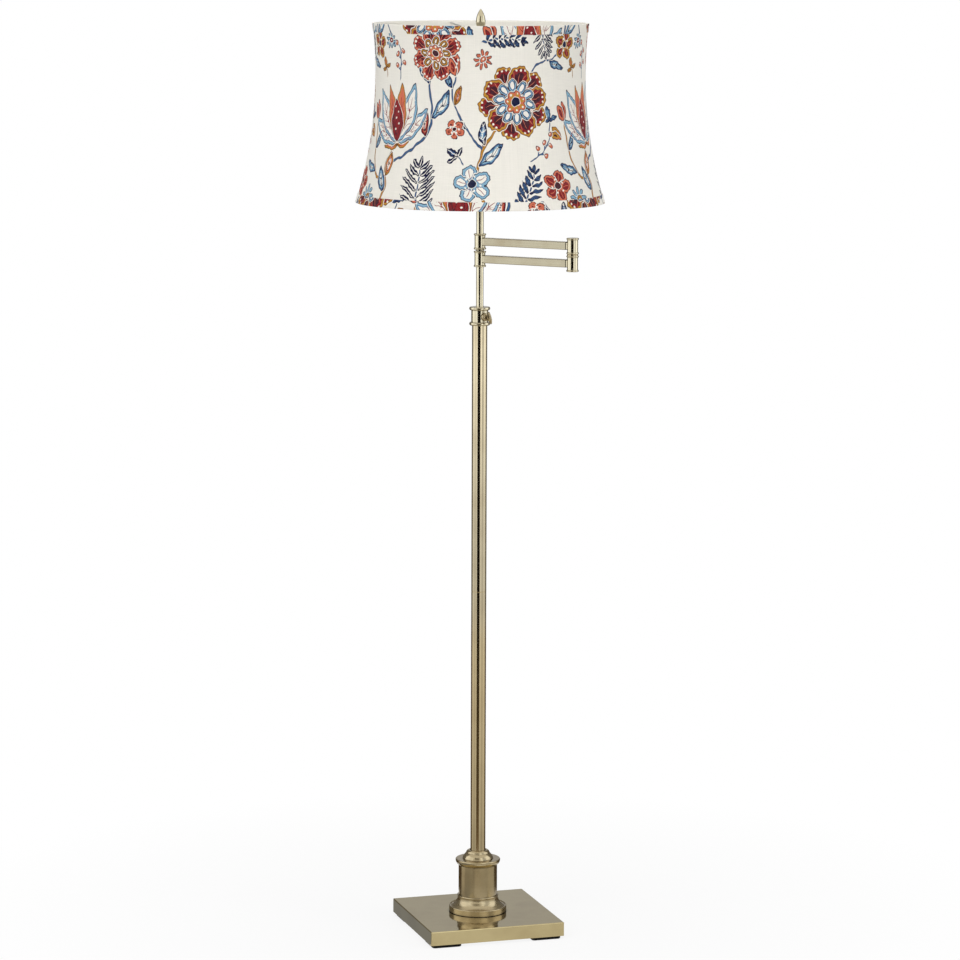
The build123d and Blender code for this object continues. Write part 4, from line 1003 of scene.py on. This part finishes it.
def floor_finish(colour):
    """Pale floor that is white to the camera where nothing shades it."""
    material, tree, shader = start_material("studio_floor")
    grain = noise(tree, object_place(tree), 40.0)
    put_all(tree, shader, {
        "Base Color": blended(tree, spread(tree, grain, 0.0, 0.04), colour, scaled(colour, 0.9)),
        "Roughness": 0.7, "Specular IOR Level": 0.1})
    glow = node(tree, "ShaderNodeEmission", {"Color": PLAIN_WHITE, "Strength": 1.0})
    reach = from_origin(tree)
    to_camera = node(tree, "ShaderNodeLightPath").outputs["Is Camera Ray"]
    at_camera = maths(tree, "MULTIPLY", to_camera, spread(tree, reach, 0.86, 1.0, start=0.2, end=1.0))
    in_sight = maths(tree, "MULTIPLY", seen_rays(tree), spread(tree, reach, 0.72, 1.0, start=0.2, end=1.3))
    mixed = node(tree, "ShaderNodeMixShader", {
        0: maths(tree, "MAXIMUM", at_camera, in_sight), 1: shader.outputs[0], 2: glow.outputs[0]})
    put(tree, tree.nodes["Material Output"].inputs["Surface"], mixed.outputs[0])
    return material


class LAMP_OT_stage(Operator):
    """Set the floor, the lamps, the cards and the camera"""
    bl_idname = "lamp.stage"
    bl_label = "Studio stage"

    def execute(self, context):
        scene = context.scene
        studio = scene.lamp_studio
        scene.view_settings.view_transform = "Standard"
        bm = bmesh.new()
        bmesh.ops.create_grid(bm, x_segments=FLOOR_FACES, y_segments=FLOOR_FACES, size=FLOOR_SIZE)
        floor = made_of(bm, "floor")
        floor.data.materials.append(floor_finish(tuple(studio.floor)))
        white_world(studio.sky)
        for name, (place, target, size) in LAMPS.items():
            area_lamp(name + "_lamp", place, target, size, getattr(studio, name))
        for name, (bands, sectors) in CARDS.items():
            for n, (near, far, tint) in enumerate(bands):
                for m, (start, end, share) in enumerate(sectors):
                    reflection_card(f"{name}_card_{n}_{m}", near, far, start, end, scaled(tint, share))
        camera = bpy.data.cameras.new("photo_camera")
        camera.lens, camera.sensor_width, camera.clip_end = CAMERA_LENS, CAMERA_SENSOR, CAMERA_REACH
        view = placed("photo_camera", camera)
        view.location = CAMERA_PLACE
        view.rotation_euler = [math.radians(turn) for turn in CAMERA_TURN]
        scene.camera = view
        return {"FINISHED"}


class LAMP_PT_sidebar(Panel):
    """Sizes, colours and pieces of the floor lamp"""
    bl_label = "Floor lamp"
    bl_idname = "LAMP_PT_sidebar"
    bl_space_type = "VIEW_3D"
    bl_region_type = "UI"
    bl_category = "Floor lamp"

    def draw(self, context):
        for group, made in GROUPS.items():
            box = self.layout.box()
            for name in made.__annotations__:
                box.prop(getattr(context.scene, group), name)
        for operator in PIECES:
            self.layout.operator(operator.bl_idname)


GROUPS = {
    "lamp_shade": ShadeSizes, "lamp_inks": PrintInks, "lamp_metal": MetalFinish, "lamp_studio": StudioLight}
PIECES = (
    LAMP_OT_shade_cover, LAMP_OT_shade_lining, LAMP_OT_shade_trims, LAMP_OT_brass, LAMP_OT_fittings, LAMP_OT_stage)
CLASSES = (*GROUPS.values(), *PIECES, LAMP_PT_sidebar)


def register():
    for made in CLASSES:
        bpy.utils.register_class(made)
    for name, group in GROUPS.items():
        setattr(bpy.types.Scene, name, PointerProperty(type=group))


def unregister():
    for name in GROUPS:
        delattr(bpy.types.Scene, name)
    for made in reversed(CLASSES):
        bpy.utils.unregister_class(made)


def main():
    register()
    bpy.ops.lamp.shade_cover()
    bpy.ops.lamp.shade_lining()
    bpy.ops.lamp.shade_trims()
    bpy.ops.lamp.brass()
    bpy.ops.lamp.fittings()
    bpy.ops.lamp.stage()


if __name__ == "__main__":
    main()
